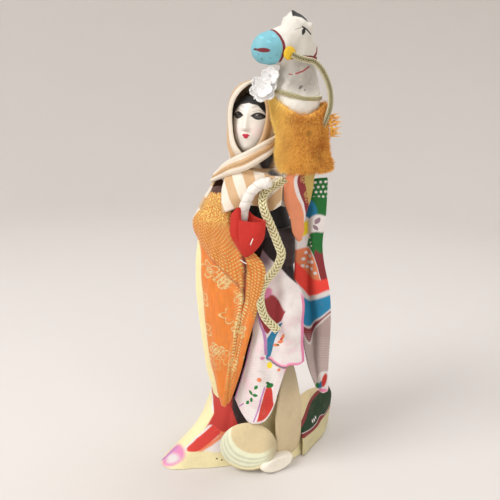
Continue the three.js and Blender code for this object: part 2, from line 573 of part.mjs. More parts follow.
piece("scarf_tail", cut(sheet(tailSurface, 5, 6, THIN_CLOTH), rightArmRoom), 0xe6cfa4, 0.8);
const drapeSurface = (u, v) => {
  const angle = THREE.MathUtils.degToRad(-50 - 8 * v - 150 * u);
  const reach = WRAP_RADIUS + CLEARANCE + THIN_CLOTH / 2 + (8 - 2.4 * u) * v;
  return vec(HEAD_X + reach * Math.sin(angle), HEAD_Y - reach * Math.cos(angle), WRAP_BOTTOM + 2 - 16.4 * v);
};
piece("shoulder_drape", sheet(drapeSurface, 14, 5, THIN_CLOTH), 0xd8b184, 0.8);

// Horse prop, in its own frame: forward is -Y and the stick is its Z axis
const HORSE_NECK = [
  [128, 0, 6.7, 6], [131, 0, 7.4, 6.4], [134, 0, 7.6, 6.4], [140, 0, 6.8, 5.7], [145, 0, 5.6, 5],
  [150, 0, 5.4, 4.9], [154, -0.9, 4.9, 4.6], [157.4, -1.9, 3.7, 3.6], [159.4, -2.6, 1.6, 1.8],
];
const horseNeck = (grow) => loft(HORSE_NECK.map(([z, y, long, wide]) => (
  oval(0, y, z, wide + grow, long + grow, long + grow, 18))));
const MUZZLE = [
  [0, 151.4, 4.6, 6], [4.6, 151.3, 4.9, 6], [7, 150.5, 4.9, 5.4], [10, 149.8, 4.8, 4.8], [12.4, 149.6, 4.2, 4.2],
  [14, 149.6, 2.9, 2.9], [14.8, 149.6, 1.2, 1.2],
];
const muzzle = loft(MUZZLE.map(([ahead, z, wide, tall]) => Array.from({ length: 16 }, (_, j) => {
  const t = (j / 16) * 2 * Math.PI;
  return vec(wide * Math.cos(t), -ahead, z + tall * Math.sin(t));
})));
const ear = (side) => {
  const cone = loft([[156, 1.7], [158.6, 1.5], [160.4, 0.9], [161, 0.3]].map(([z, r]) => (
    oval(side * (2 + (z - 156) * 0.08), -2.4, z, r * 0.8, r, r, 10))));
  return cone;
};
const stickHole = cylinder(STICK_RADIUS + CLEARANCE, 120, STICK_TOP + CLEARANCE, 16);
const horseBody = join(horseNeck(0), muzzle, ear(1), ear(-1));
piece("horse_head", cut(horseBody, stickHole), 0xe6e2d8, 0.5, 0, horse);
piece("horse_stick", cylinder(STICK_RADIUS, STICK_BOTTOM, STICK_TOP, 16), 0xc9a374, 0.7, 0, horse);

const cordRing = (z, grow) => {
  const low = HORSE_NECK.findLastIndex((ring) => ring[0] <= z);
  const t = (z - HORSE_NECK[low][0]) / (HORSE_NECK[low + 1][0] - HORSE_NECK[low][0]);
  const [, , long, wide] = HORSE_NECK[low].map((value, k) => value + (HORSE_NECK[low + 1][k] - value) * t);
  return oval(0, 0, z, wide + grow, long + grow, long + grow, 18);
};
const cordHalf = CORD_WIDTH / 2;
const cordHeight = HORSE_NECK[0][0] + CORD_RISE;
const cordBody = loft([
  cordRing(cordHeight - cordHalf, CLEARANCE + CORD_THICKNESS * 0.6),
  cordRing(cordHeight, CLEARANCE + CORD_THICKNESS),
  cordRing(cordHeight + cordHalf, CLEARANCE + CORD_THICKNESS * 0.6),
]);
piece("neck_cord", cut(cordBody, horseNeck(CLEARANCE)), 0xb9a86a, 0.4, 0.6, horse);

// Plush collar: an open tube of pile cloth round the foot of the horse's neck
const PLUSH_RINGS = [
  [113.2, 3.8, 10.1, 8.2], [118, 2.7, 9.8, 8.2], [123, 1.7, 9.8, 8.2], [128, 1, 10, 8.3], [131.4, 0.5, 10.3, 8.4],
];
const plushRim = (points) => points.map((p) => {
  const lift = Math.max(0, Math.abs(p.y) / PLUSH_RINGS[4][2] - 0.3);
  return vec(p.x, p.y, p.z + 2.4 * lift * (p.y > 0 ? 1.5 : 0.7));
});
const plushLoft = (grow, beyond) => loft(PLUSH_RINGS.map(([z, y, long, wide], i) => {
  const shift = i === 0 ? -beyond : i === 4 ? beyond : 0;
  const ring = oval(0, y, z + shift, wide + grow, long + grow, long + grow, 20);
  return i === 4 ? plushRim(ring) : ring;
}));
piece("plush_collar", cut(plushLoft(0, 0), plushLoft(-PLUSH_THICKNESS, 1), horseNeck(CLEARANCE)), 0xe09a34, 0.95, 0, horse);

// Bit discs on both cheeks, and the reins from them over the neck to the collar
const BIT_DROP = 3;
const BIT_AHEAD = 5;
const BIT_SIDE = 4.8;
const bitHeight = MUZZLE[0][1] - BIT_DROP;
const bit = (side) => {
  const disc = cylinder(BIT_RADIUS, BIT_SIDE + CLEARANCE, BIT_SIDE + CLEARANCE + BIT_THICKNESS, 16);
  disc.rotateY((side * Math.PI) / 2);
  disc.translate(0, -BIT_AHEAD, bitHeight);
  return cut(disc, horseNeck(CLEARANCE));
};
piece("bit_disc_left", bit(1), 0xe1b928, 0.5, 0, horse);
piece("bit_disc_right", bit(-1), 0xe1b928, 0.5, 0, horse);
const REIN = [
  [6.7, -4.4, 148], [7, -2.6, 147.2], [7.1, 0, 146.7], [6.9, 2.8, 146.3], [6.6, 5.7, 144.1],
  [6.4, 8.4, 140.5], [6.4, 9.7, 137.1], [6.6, 9.9, 133.8], [6.8, 9.3, 130.6],
];
const rein = (side) => {
  const route = smooth(REIN.map(([x, y, z]) => vec(side * x, y, z)));
  return sweep(route, BRAID_THICKNESS / 2, REIN_WIDTH / 2, 18, 8, () => vec(side, 0.25, 0));
};
piece("rein_left", cut(rein(1), plushLoft(CLEARANCE, 0)), 0xb9a86a, 0.4, 0.6, horse);
piece("rein_right", cut(rein(-1), plushLoft(CLEARANCE, 0)), 0xb9a86a, 0.4, 0.6, horse);

// Gold braid from the collar through the right hand, then hanging free
const BRAID = smooth([
  vec(16.6, -13.7, 111.8),
  vec(13.6, -13.8, 109.4),
  vec(11, -14.2, 106.9),
  vec(10.4, -16, 104.4),
  vec(11.6, -17.2, 101),
  vec(14.2, -17.6, 96.4),
  vec(16.7, -17.6, 90.1),
  vec(17.9, -17.6, 86),
  vec(17.1, -18, 81.8),
  vec(14.3, -18.5, 77.6),
  vec(12.9, -18.9, 72.6),
  vec(12.7, -18.9, 68.6),
  vec(14.2, -18.5, 64.2),
  vec(18.5, -17.5, 60.3),
]);
const braidFacing = () => vec(0.883, 0.469, 0.05);
const braid = sweep(BRAID, BRAID_WIDTH / 2, BRAID_THICKNESS / 2, 34, 8, braidFacing);
piece("hand_braid", cut(braid, sleeveRoom, rightArmRoom), 0xb9a86a, 0.4, 0.6);

export default group;
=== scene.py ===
"""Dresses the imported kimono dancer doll: cloth, painted heads, braid and pile around the CAD frame."""

import math

import bmesh
import bpy
import numpy as np
from mathutils import Matrix, Vector


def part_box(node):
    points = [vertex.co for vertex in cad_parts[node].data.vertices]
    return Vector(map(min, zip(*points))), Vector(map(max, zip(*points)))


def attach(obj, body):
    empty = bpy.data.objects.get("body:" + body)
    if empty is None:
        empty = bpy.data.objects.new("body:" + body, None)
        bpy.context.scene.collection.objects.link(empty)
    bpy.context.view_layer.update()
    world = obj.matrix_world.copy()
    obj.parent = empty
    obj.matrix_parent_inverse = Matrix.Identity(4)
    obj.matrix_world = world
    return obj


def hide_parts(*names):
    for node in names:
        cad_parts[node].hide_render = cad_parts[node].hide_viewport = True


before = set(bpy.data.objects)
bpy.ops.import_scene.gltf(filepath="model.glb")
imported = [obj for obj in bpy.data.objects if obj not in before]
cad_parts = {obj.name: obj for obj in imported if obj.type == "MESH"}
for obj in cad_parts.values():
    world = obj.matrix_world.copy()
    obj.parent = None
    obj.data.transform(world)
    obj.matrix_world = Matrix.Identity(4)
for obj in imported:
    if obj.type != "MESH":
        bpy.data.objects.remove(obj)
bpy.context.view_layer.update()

bl_info = {
    "name": "Kimono dancer doll",
    "version": (1, 0, 0),
    "blender": (4, 5, 0),
    "location": "View3D > Sidebar > Doll",
    "description": "Builds the doll's cloth, painted heads, braid and pile round its CAD frame",
    "category": "Object",
}

MM = 0.001
TURN = 2 * math.pi
DEGREE = math.pi / 180
# Points that lie closer than this, in metres, are joined
MERGE = 1e-6

# Camera
CAMERA_PLACE = (88.5, -171.6, 140.2)
CAMERA_YAW = 28 * DEGREE
CAMERA_FALL = 17.08 * DEGREE
CAMERA_ROLL = 2.32 * DEGREE
CAMERA_LENS = 39.6
# Lights: name, place, size, power
LIGHTS = (
    ("key", (-260, -420, 520), 260, 2.7),
    ("fill", (480, -260, 300), 420, 0.8),
    ("top", (60, 260, 560), 400, 1.1),
)
# The floor is flat this far out, then bends up into a wall of this height
FLOOR_REACH = 420
FLOOR_BEND = 350
WALL_HEIGHT = 1000

# Places that pieces share, in millimetres
HEAD_AXIS = (-0.5, -4.0)
FACE_TURN = 5 * DEGREE
HOOD_TURN = 6 * DEGREE
HORSE_PLACE = (16.4, -9.4)
HORSE_TURN = -47 * DEGREE
# Lower and upper end of the fist round the stick
FIST = (110.5, 115.9)

# The wrapped body: height, half width, half depth, sideways, forwards
BODY = (
    (3.3, 12.9, 10.8, 0, 0),
    (40, 12.5, 10, 0, 0),
    (74, 11, 8.5, 0, 0),
    (92, 11, 8.5, 0, -0.5),
    (102, 9, 6, -0.25, -2),
    (106.2, 5.2, 5, -0.5, -3.8),
)
# The skirt hem: angle from the front, reach on the floor
HEM_REACH = (
    (-180, 25), (-135, 20), (-95, 18.5), (-60, 24), (-33, 37.5), (-14, 26), (12, 17.6),
    (45, 17.4), (75, 19.8), (95, 22.4), (120, 27), (150, 29), (180, 25),
)
HEM_TOP = 27
# Lower and upper edge of the sash
SASH = (77, 92)
# The padded petals: piece, node, fill, then angle, reach, height, tilt and lean, then form
PETALS = (
    ("front_petal", "hem_puff", 0.8, (28, 20, 11, 0, -6), (10.5, 9.6, 1.9, 0.75, 1, 0, 0.35, 2, 0.7)),
    ("hem_toe", "hem_corner", 0.9, (59, 20.6, 3.4, 0, 0), (7.2, 3.7, 3.4, 0.6, 1, 0, 0, 2.4, 0.5)),
    (
        "side_petal", "hem_side_petal", 0.6, (72.4, 20.4, 23.6, -9, 3),
        (7, 22.6, 1.5, 0.8, 0.45, 0.62, 0, 2.4, 0.5),
    ),
)
TRAIN = (
    ((23.6, 2, 0.6), (24.4, 12, 0.6), (24.6, 22, 1), (22.6, 32, 2.4)),
    ((22.6, 2.6, 8), (22.8, 12, 8), (23.4, 21, 8), (23.2, 30.5, 9)),
    ((20.6, 3.2, 16), (21, 12, 16.5), (22.4, 20.5, 15.5), (23.4, 28.5, 14.5)),
    ((19, 4, 23), (20, 11.5, 23), (22, 19.5, 21), (23.4, 26, 18.5)),
)
PANEL = (
    ((8.6, -9.9, 89), (9.6, -9.2, 89), (10.6, -8.4, 88.6), (11.4, -7.6, 88.2), (12.3, -6.7, 88)),
    ((8.2, -14, 80), (10.6, -13.4, 80), (13, -11.6, 80), (15, -10.4, 80), (16.8, -9, 79.6)),
    ((7.6, -15.2, 70), (11.2, -15.6, 70), (14.6, -12.2, 70), (18.8, -12, 70.6), (22.8, -8.6, 71)),
    ((8.4, -15.8, 58), (11.9, -16.4, 57), (14.8, -12.6, 59), (19.4, -12.9, 60), (23.7, -8.8, 60)),
    ((6.3, -16.2, 45), (11.8, -16.8, 42), (15.4, -13.4, 48), (20, -13.2, 52), (24.4, -9, 53)),
    ((2.2, -16.2, 25.6), (11, -17, 21.7), (16.4, -15, 26.4), (20.8, -13, 45.8), (25.2, -9.2, 47.2)),
)
RIGHT_SLEEVE = (
    ((-9.6, -14.9, 105), (-7.8, -15.5, 105), (-6, -15.6, 105), (-4.4, -15.4, 105)),
    ((-12.6, -16.9, 98.5), (-9, -18, 98.5), (-5, -18.1, 98.5), (-1.4, -17.7, 98.5)),
    ((-15.6, -17.9, 92.4), (-10, -19.2, 92), (-4.5, -19.6, 92), (0.8, -19.2, 92)),
    ((-12.2, -18.6, 84), (-5, -20, 83), (3, -19.3, 83), (12.4, -19, 83)),
    ((-11.2, -18.7, 72), (-4, -20.2, 72), (5, -18.9, 72), (12, -19.2, 72)),
    ((-9.4, -18.7, 56), (-3, -20.1, 56), (3, -18.9, 56), (8.4, -19.2, 56)),
    ((-6.2, -18.8, 40), (-2.4, -19.8, 40), (1.4, -19, 40), (5, -19.2, 40)),
    ((-1.9, -18.9, 27), (-1, -19.3, 26.4), (0, -19.2, 26.4), (0.9, -19, 27)),
)
LINING = (
    ((-14.4, -16.55, 89), (-10, -17.05, 89), (-6, -17.55, 88), (-3, -17.55, 87)),
    ((-15.6, -16.15, 74), (-10, -16.95, 74), (-6, -17.85, 74), (-3, -18.15, 74)),
    ((-13.6, -16.15, 56), (-9, -16.95, 56), (-6, -17.55, 56), (-3, -18.15, 56)),
    ((-10.4, -16.35, 40), (-7.6, -16.75, 40), (-5, -17.15, 40), (-3, -17.65, 40)),
    ((-6.6, -16.75, 28), (-5.2, -16.85, 27), (-3.8, -17.05, 27), (-2.6, -17.15, 28)),
)
LEFT_SLEEVE = (
    ((11.6, -1.7, 101), (15.6, -1.4, 105.4), (20, -0.6, 109), (24.4, 1.4, 110)),
    ((14.6, -0.6, 93.4), (18.2, 1.4, 96), (21.4, 0.4, 98), (24.4, 2.4, 98)),
    ((15.6, 0.4, 84), (19, 2.4, 84), (21.6, 1, 84), (24, 3, 84)),
    ((16.2, 0.4, 69), (20.2, 2.6, 69), (24, 1.4, 69), (27.8, 3.6, 69)),
    ((19, 1.8, 55), (22.4, 3.6, 55), (25.8, 2.4, 55), (29, 4.2, 55)),
    ((22.4, 2.8, 40), (24.6, 4.2, 40), (26.8, 3.2, 40), (29.4, 4.4, 40)),
    ((26.2, 3.8, 30), (27.4, 4.3, 29), (28.8, 4, 29), (30.2, 4.4, 30)),
)
INNER_SLEEVE = (
    ((16.9, -12.7, 112.6), (18.6, -12.5, 112.8), (20.4, -10.8, 113), (22, -8, 113.2), (23, -5.2, 113.4)),
    ((15.4, -12.1, 109.8), (17.2, -12.1, 109.8), (19.1, -11.1, 110), (21, -8.4, 110.9), (22.4, -5.2, 112)),
    ((14.6, -9.6, 103), (16, -9.2, 103), (18, -7.6, 103.4), (19.8, -5.6, 104), (21.2, -3.6, 104.4)),
    ((16.3, -7.4, 96.5), (17, -6.4, 96.3), (17.8, -5.4, 96.2), (18.5, -4.4, 96.2), (19.2, -3.4, 96.4)),
    ((17, -6.6, 92), (17.6, -5.9, 91.8), (18.1, -5.1, 91.7), (18.7, -4.2, 91.8), (19.2, -3.2, 92)),
    ((18.2, -5.2, 89), (18.4, -4.9, 88.8), (18.6, -4.5, 88.7), (18.8, -4.1, 88.8), (19, -3.7, 89)),
)
BIB = (
    ((-5.8, -12.8, 110.8), (-0.4, -14.6, 112.4), (5.6, -13.5, 112), (9.4, -11.8, 111)),
    ((-4.2, -18.5, 105), (0.6, -18.2, 105.4), (5.4, -16.6, 105.8), (9, -14.2, 105.6)),
    ((-2.4, -20.6, 98.6), (1.3, -19.2, 100.4), (5, -17, 101.6), (8.4, -14.6, 101.4)),
)
CROSSING = (
    (
        (-10, -13.4, 109.6), (-3.5, -15.4, 114.8), (2.1, -15.6, 117.9), (7.2, -12.9, 121.4),
        (10.2, -8.6, 123.8)
    ),
    ((-11.4, -13.4, 108.3), (-3.3, -16.6, 112.8), (2.7, -16.8, 115.4), (8, -13.2, 119.2), (11, -8.6, 122.2)),
    ((-12.4, -12.4, 106.4), (-2.9, -15.9, 110.4), (3.3, -15.5, 112.9), (8.6, -12, 117), (10.8, -8.4, 120.4)),
)
TAIL = (
    ((8.8, -11.9, 110.6), (11.6, -12.2, 110.8), (14.4, -12.1, 111)),
    ((9.2, -12.5, 105), (11.9, -12.5, 105.4), (14.4, -12.2, 106)),
    ((9.8, -12.8, 99.4), (12.1, -12.7, 100.4), (14.3, -12.3, 102)),
)
RIGHT_ARM = (
    (-11.2, -9.2, 100), (-5.5, -13.4, 95.8), (0.8, -16.4, 93), (4, -19.2, 96), (4.9, -19.4, 101.3),
    (6.3, -18.5, 105.6), (8.5, -17.8, 108.3), (10.8, -17.1, 109.4), (13, -16.4, 109.1),
)
LEFT_ARM = ((12.4, -5.4, 101), (13.6, -6.6, 104.4), (15, -8.1, 108))
# The red cuff: sideways, height, half width, half depth
CUFF = ((6.7, 85, 0.7, 0.6), (6.8, 88, 3.7, 1.7), (6.9, 92, 6, 2.6), (7, 96, 6.3, 3), (7, 99, 6.2, 3))
# The heads' rings: height, half width, front, back
HEAD_RINGS = (
    (116.8, 1.6, 4.6, 0.6), (118, 4.6, 6.4, 2.6), (121, 6.7, 7.3, 5), (125, 7.4, 7.7, 6.3),
    (129, 7.4, 7.6, 6.7), (132.5, 6.6, 6.7, 6.4), (135.2, 4.3, 4.4, 4.6), (136.6, 1.6, 1.8, 1.8),
)
# Unpainted skin has its paint's place this far to the side
BARE = 40.0
# The hair's lower edge: degrees from the front, height
HAIR_LINE = (
    (0, 133.6), (12, 133.3), (28, 133), (44, 131), (58, 129), (75, 127), (100, 122), (180, 116),
)
HAIR_TOP = 137.6
HOOD_RINGS = (
    (112.7, 7.4, 7.2, 7.4), (116, 8.2, 8.6, 8.4), (121, 8.7, 9.6, 9.1), (127, 8.9, 10, 9.6),
    (132, 8.8, 9.6, 9.6), (136, 7.6, 8, 8.4), (138.6, 5.4, 5.4, 6.2), (139.9, 2.8, 2.8, 3.2),
    (140.3, 0.26, 0.26, 0.26),
)
# How far the hood opens from the middle of the face: height, degrees
HOOD_OPENING = (
    (112.7, 0), (116.6, 2), (118.4, 15), (120.2, 29), (123.4, 41), (128, 47), (133, 46), (136.2, 36),
    (138.6, 22), (139.5, 8), (139.9, 0), (140.3, 0),
)
# The horse: height, forwards, half length, half width
HORSE_NECK = (
    (128, 0.3, 5.6, 5.2), (131, 0.2, 6.6, 5.9), (134, 0, 7.5, 6.4), (140, 0, 6.8, 5.7), (145, 0, 5.6, 5),
    (150, 0, 5.4, 4.9), (154, -0.9, 4.9, 4.6), (157.4, -1.9, 3.7, 3.6), (159.4, -2.6, 1.6, 1.8),
)
# Its muzzle: ahead, height, half width, half height
MUZZLE = (
    (0, 151.4, 4.6, 6), (4.6, 151.3, 4.9, 6), (7, 150.5, 4.9, 5.4), (10, 149.8, 4.8, 4.8),
    (12.4, 149.6, 4.2, 4.2), (14, 149.6, 2.9, 2.9), (14.8, 149.6, 1.2, 1.2),
)
PLUSH = (
    (113.8, 4.3, 9.7, 8.2), (118, 3.3, 9.2, 8.2), (123, 2.5, 9, 8.2), (128, 1.6, 9.3, 8.3),
    (131, 0.7, 9.9, 8.4)
)
REIN = (
    (6.7, -4.4, 148), (7, -2.6, 147.2), (7.1, 0, 146.7), (6.9, 2.6, 146.2), (6.6, 5.2, 144.1),
    (6.4, 7.5, 140.5), (6.4, 8.6, 137.1), (6.6, 8.7, 133.8), (6.4, 8, 130.6), (5.6, 7.2, 127.6),
)
BRAID = (
    (16.2, -14, 111), (13.5, -14, 108.9), (10.6, -14.4, 107.1), (9.8, -16.2, 104.6), (11, -17.4, 101),
    (13.9, -17.7, 96), (16.7, -17.6, 90.6), (18.1, -17.6, 87), (16.4, -18, 81.8), (13.2, -18.5, 77),
    (11.9, -18.9, 72.6), (12.4, -18.9, 68.2), (14.2, -18.5, 64.2), (18.5, -17.5, 60.3),
)
BRAID_ACROSS = np.array((0.883, 0.469, 0.05))
# The brocade sleeve's crease: a place across and down the cloth, and its slope
CREASE = (0.42, 0.468, 0.31)
SLEEVE_WIDTH, SLEEVE_LENGTH = 18.0, 79
# The slit of the brocade sleeve: down the cloth, across it
SLIT = (
    (0.385, 0.82), (0.405, 0.8), (0.47, 0.765), (0.53, 0.74), (0.633, 0.75), (0.71, 0.76),
    (0.787, 0.75), (0.875, 0.76), (1, 0.84),
)


def colour(name, description, *shown):
    """A colour that a user may change, given as eight-bit screen values."""
    return bpy.props.FloatVectorProperty(
        name=name, description=description, default=[x / 255 for x in shown],
        size=3, min=0, max=1, subtype="COLOR_GAMMA",
    )


def length(name, description, millimetres):
    """A length that a user may change."""
    return bpy.props.FloatProperty(
        name=name, description=description, default=millimetres * MM, min=0, unit="LENGTH", precision=5
    )


class DollSizes(bpy.types.PropertyGroup):
    """Sizes of the cloth, the braid and the pile."""

    braid_width: length("Braid width", "Width of the gold braid in the right hand", 2.9)
    braid_thickness: length("Braid thickness", "Thickness of the gold braid and the reins", 0.9)
    rein_width: length("Rein width", "Width of the horse's reins", 1.7)
    arm_radius: length("Arm radius", "Radius of the bound wire arms", 1.7)
    cloth: length("Cloth", "Thickness of the thick cloths", 1.2)
    thin_cloth: length("Thin cloth", "Thickness of the thin cloths", 0.9)
    sleeve: length("Sleeve", "Thickness of the padded brocade sleeve", 2.2)
    weave: length("Weave", "Distance between two threads of the cloth", 0.34)
    pile: length("Pile", "Length of the plush collar's strands", 1.3)
    strand: length("Strand", "Thickness of one strand of pile", 0.17)


class DollColours(bpy.types.PropertyGroup):
    """Colours of the doll's cloths, paints and threads."""

    wood: colour("Wood", "Base disc, posts and stick", 176, 138, 96)
    paper: colour("Wound paper", "Body core under the kimono", 205, 190, 160)
    wire: colour("Wire", "Wires inside the arms", 120, 116, 110)
    black: colour("Black cloth", "Kimono body", 19, 17, 17)
    # Dark maroon also paints shadows: dark hollows on the hood and neck wrap, the front panel's top and a
    # dark zone on the hem
    maroon_black: colour("Dark maroon", "Sash and its knot", 46, 31, 33)
    brocade: colour("Brocade", "Orange ground of the right sleeve", 238, 122, 40)
    gold: colour("Gold thread", "Gold of the brocade", 226, 190, 108)
    gold_pale: colour("Pale gold thread", "Gold of the brocade's flowers", 238, 216, 152)
    slit: colour("Slit", "Dark red inside the sleeve's slit", 110, 36, 26)
    red: colour("Red cloth", "Cuff", 200, 44, 33)
    lining: colour("Pale lining", "Lining of the right sleeve", 252, 240, 186)
    binding: colour("Binding", "White binding of the arms", 242, 237, 229)
    scarf_beige: colour("Scarf beige", "Beige stripes of the scarf", 212, 174, 128)
    scarf_white: colour("Scarf white", "Off-white stripes of the scarf", 238, 226, 208)
    # Also paints the shade along the brocade sleeve's top edge
    underside: colour("Underside", "Dark reverse of the shoulder drape", 120, 62, 46)
    print_white: colour("Print white", "Ground of the printed cloth", 238, 231, 228)
    print_red: colour("Print red", "Red of the printed cloth", 206, 56, 46)
    print_blue: colour("Print blue", "Blue of the printed cloth", 32, 126, 168)
    print_green: colour("Print green", "Green of the printed cloth", 28, 112, 48)
    print_salmon: colour("Print salmon", "Salmon of the printed cloth", 238, 138, 92)
    print_yellow: colour("Print yellow", "Yellow of the printed cloth", 250, 224, 52)
    print_pink: colour("Print pink", "Pink of the printed cloth", 244, 146, 186)
    print_mauve: colour("Print mauve", "Mauve of the printed cloth", 202, 140, 196)
    print_maroon: colour("Print maroon", "Maroon of the printed cloth", 142, 46, 50)
    # Grey mauve of printed leaves on the sleeve; it also paints shade on the panel's upper corner and a
    # shadow under its folded lip
    print_grey_and_shade: colour("Print grey and shade", "Grey mauve of the panel's upper corner", 150, 125, 135)
    reverse: colour("Reverse", "Grey reverse of the printed cloth", 172, 151, 146)
    salmon: colour("Salmon cloth", "Inner sleeve", 240, 152, 110)
    ochre: colour("Ochre cloth", "Ochre stripe of the inner sleeve", 196, 168, 92)
    hem_cream: colour("Hem cream", "Cream of the padded hem", 240, 228, 178)
    hem_yellow: colour("Hem yellow", "Pale yellow of the padded hem", 250, 238, 186)
    puff: colour("Puff", "Greenish cream of the front petal", 232, 234, 204)
    puff_panel: colour("Puff panel", "Beige middle of the front petal", 226, 207, 162)
    side_petal: colour("Side petal", "Beige of the side petal", 214, 194, 156)
    corner: colour("Corner", "Off-white hem corner", 250, 244, 228)
    face: colour("Face", "Chalk white of the face", 247, 241, 231)
    ink: colour("Ink", "Black of the hair, eyes and forelock", 26, 24, 25)
    lips: colour("Lips", "Red of the lips", 206, 38, 66)
    flower: colour("Flower", "White of the hair flower", 252, 251, 250)
    horse: colour("Horse", "Chalk white of the horse", 234, 230, 220)
    muzzle: colour("Muzzle", "Pale blue of the horse's muzzle", 124, 190, 204)
    bridle: colour("Bridle", "Painted bridle lines", 122, 36, 42)
    bit: colour("Bit", "Yellow bit discs", 232, 190, 34)
    braid: colour("Braid", "Gold of the braid, reins and cord", 190, 174, 112)
    # The pale thread colour also paints the braid's glints and the highlights along the edges of the reins
    # and cord
    braid_pale: colour("Braid pale", "Pale threads of the braid", 232, 226, 190)
    plush: colour("Plush", "Orange pile of the collar", 252, 196, 92)
    plush_pale: colour("Plush pale", "Lit side of the pile", 255, 222, 124)
    plush_deep: colour("Plush deep", "Roots of the pile", 214, 138, 50)
    floor: colour("Floor", "Pale floor and backdrop", 226, 221, 217)


def size(name):
    """A named size, in millimetres."""
    return getattr(bpy.context.scene.doll_sizes, name) / MM


def shade(light, by):
    """A linear colour, darker or lighter by a factor."""
    return tuple(min(1.0, x * by) for x in light)


def tint(name, by=1.0):
    """A named colour as linear light, darker or lighter by a factor."""
    shown = getattr(bpy.context.scene.doll_colours, name)
    return shade([x / 12.92 if x <= 0.04045 else ((x + 0.055) / 1.055) ** 2.4 for x in shown], by)


def spline(points, share):
    """Points on the smooth curve through rows of numbers, at shares of its way."""
    points = np.asarray(points, float)
    count = len(points)
    held = np.concatenate([[2 * points[0] - points[1]], points, [2 * points[-1] - points[-2]]])
    along = np.clip(np.asarray(share, float), 0, 1) * (count - 1)
    first = np.minimum(along.astype(int), count - 2)
    w = (along - first).reshape(-1, *([1] * (held.ndim - 1)))
    a, b, c, d = (held[first + k] for k in range(4))
    rise = (2 * w**3 - 3 * w**2 + 1) * b + (3 * w**2 - 2 * w**3) * c
    return rise + (w**3 - 2 * w**2 + w) * (c - a) / 2 + (w**3 - w**2) * (d - b) / 2


def patch(rows, across, down):
    """Points of the cloth through rows of points, rows running down."""
    columns = np.linspace(0, 1, across)
    return spline(np.stack([spline(row, columns) for row in rows]), np.linspace(0, 1, down))


def table(pairs, value):
    """A smooth reading of a table of pairs at some values."""
    pairs = np.asarray(pairs, float)
    fine = np.linspace(0, 1, 240)
    read = spline(pairs, fine)
    order = np.argsort(read[:, 0])
    return np.interp(value, read[order, 0], read[order, 1])


def waves(points, seed, longest, tall):
    """Soft seeded waves, one value for each point."""
    draw = np.random.default_rng(seed)
    total = np.zeros(points.shape[:-1])
    for _ in range(7):
        way = draw.normal(size=3)
        way *= TURN / (longest * draw.uniform(0.5, 1.2)) / np.linalg.norm(way)
        total += np.sin(points @ way + draw.uniform(0, TURN))
    return total * tall / 4


def bell(distance, width):
    """A smooth bump of the given width round zero."""
    return np.exp(-((distance / width) ** 2))


def unit(vectors):
    """Vectors of length one."""
    return vectors / np.maximum(np.linalg.norm(vectors, axis=-1, keepdims=True), 1e-9)


def facing(grid):
    """The direction that a grid of cloth faces, with columns to the right and rows down."""
    return unit(np.cross(np.gradient(grid, axis=0), np.gradient(grid, axis=1)))


def angles(count):
    """Angles round a ring, without its last point."""
    return np.arange(count) / count * TURN


def spans(grid):
    """Share and millimetre coordinates of a grid of cloth."""
    rows, columns = grid.shape[:2]
    across = np.concatenate([[0], np.cumsum(np.linalg.norm(np.diff(grid, axis=1), axis=2).mean(0))])
    down = np.concatenate([[0], np.cumsum(np.linalg.norm(np.diff(grid, axis=0), axis=2).mean(1))])
    share = np.stack(np.meshgrid(np.linspace(0, 1, columns), np.linspace(0, 1, rows)), -1)
    return share, np.stack(np.meshgrid(across, down), -1)


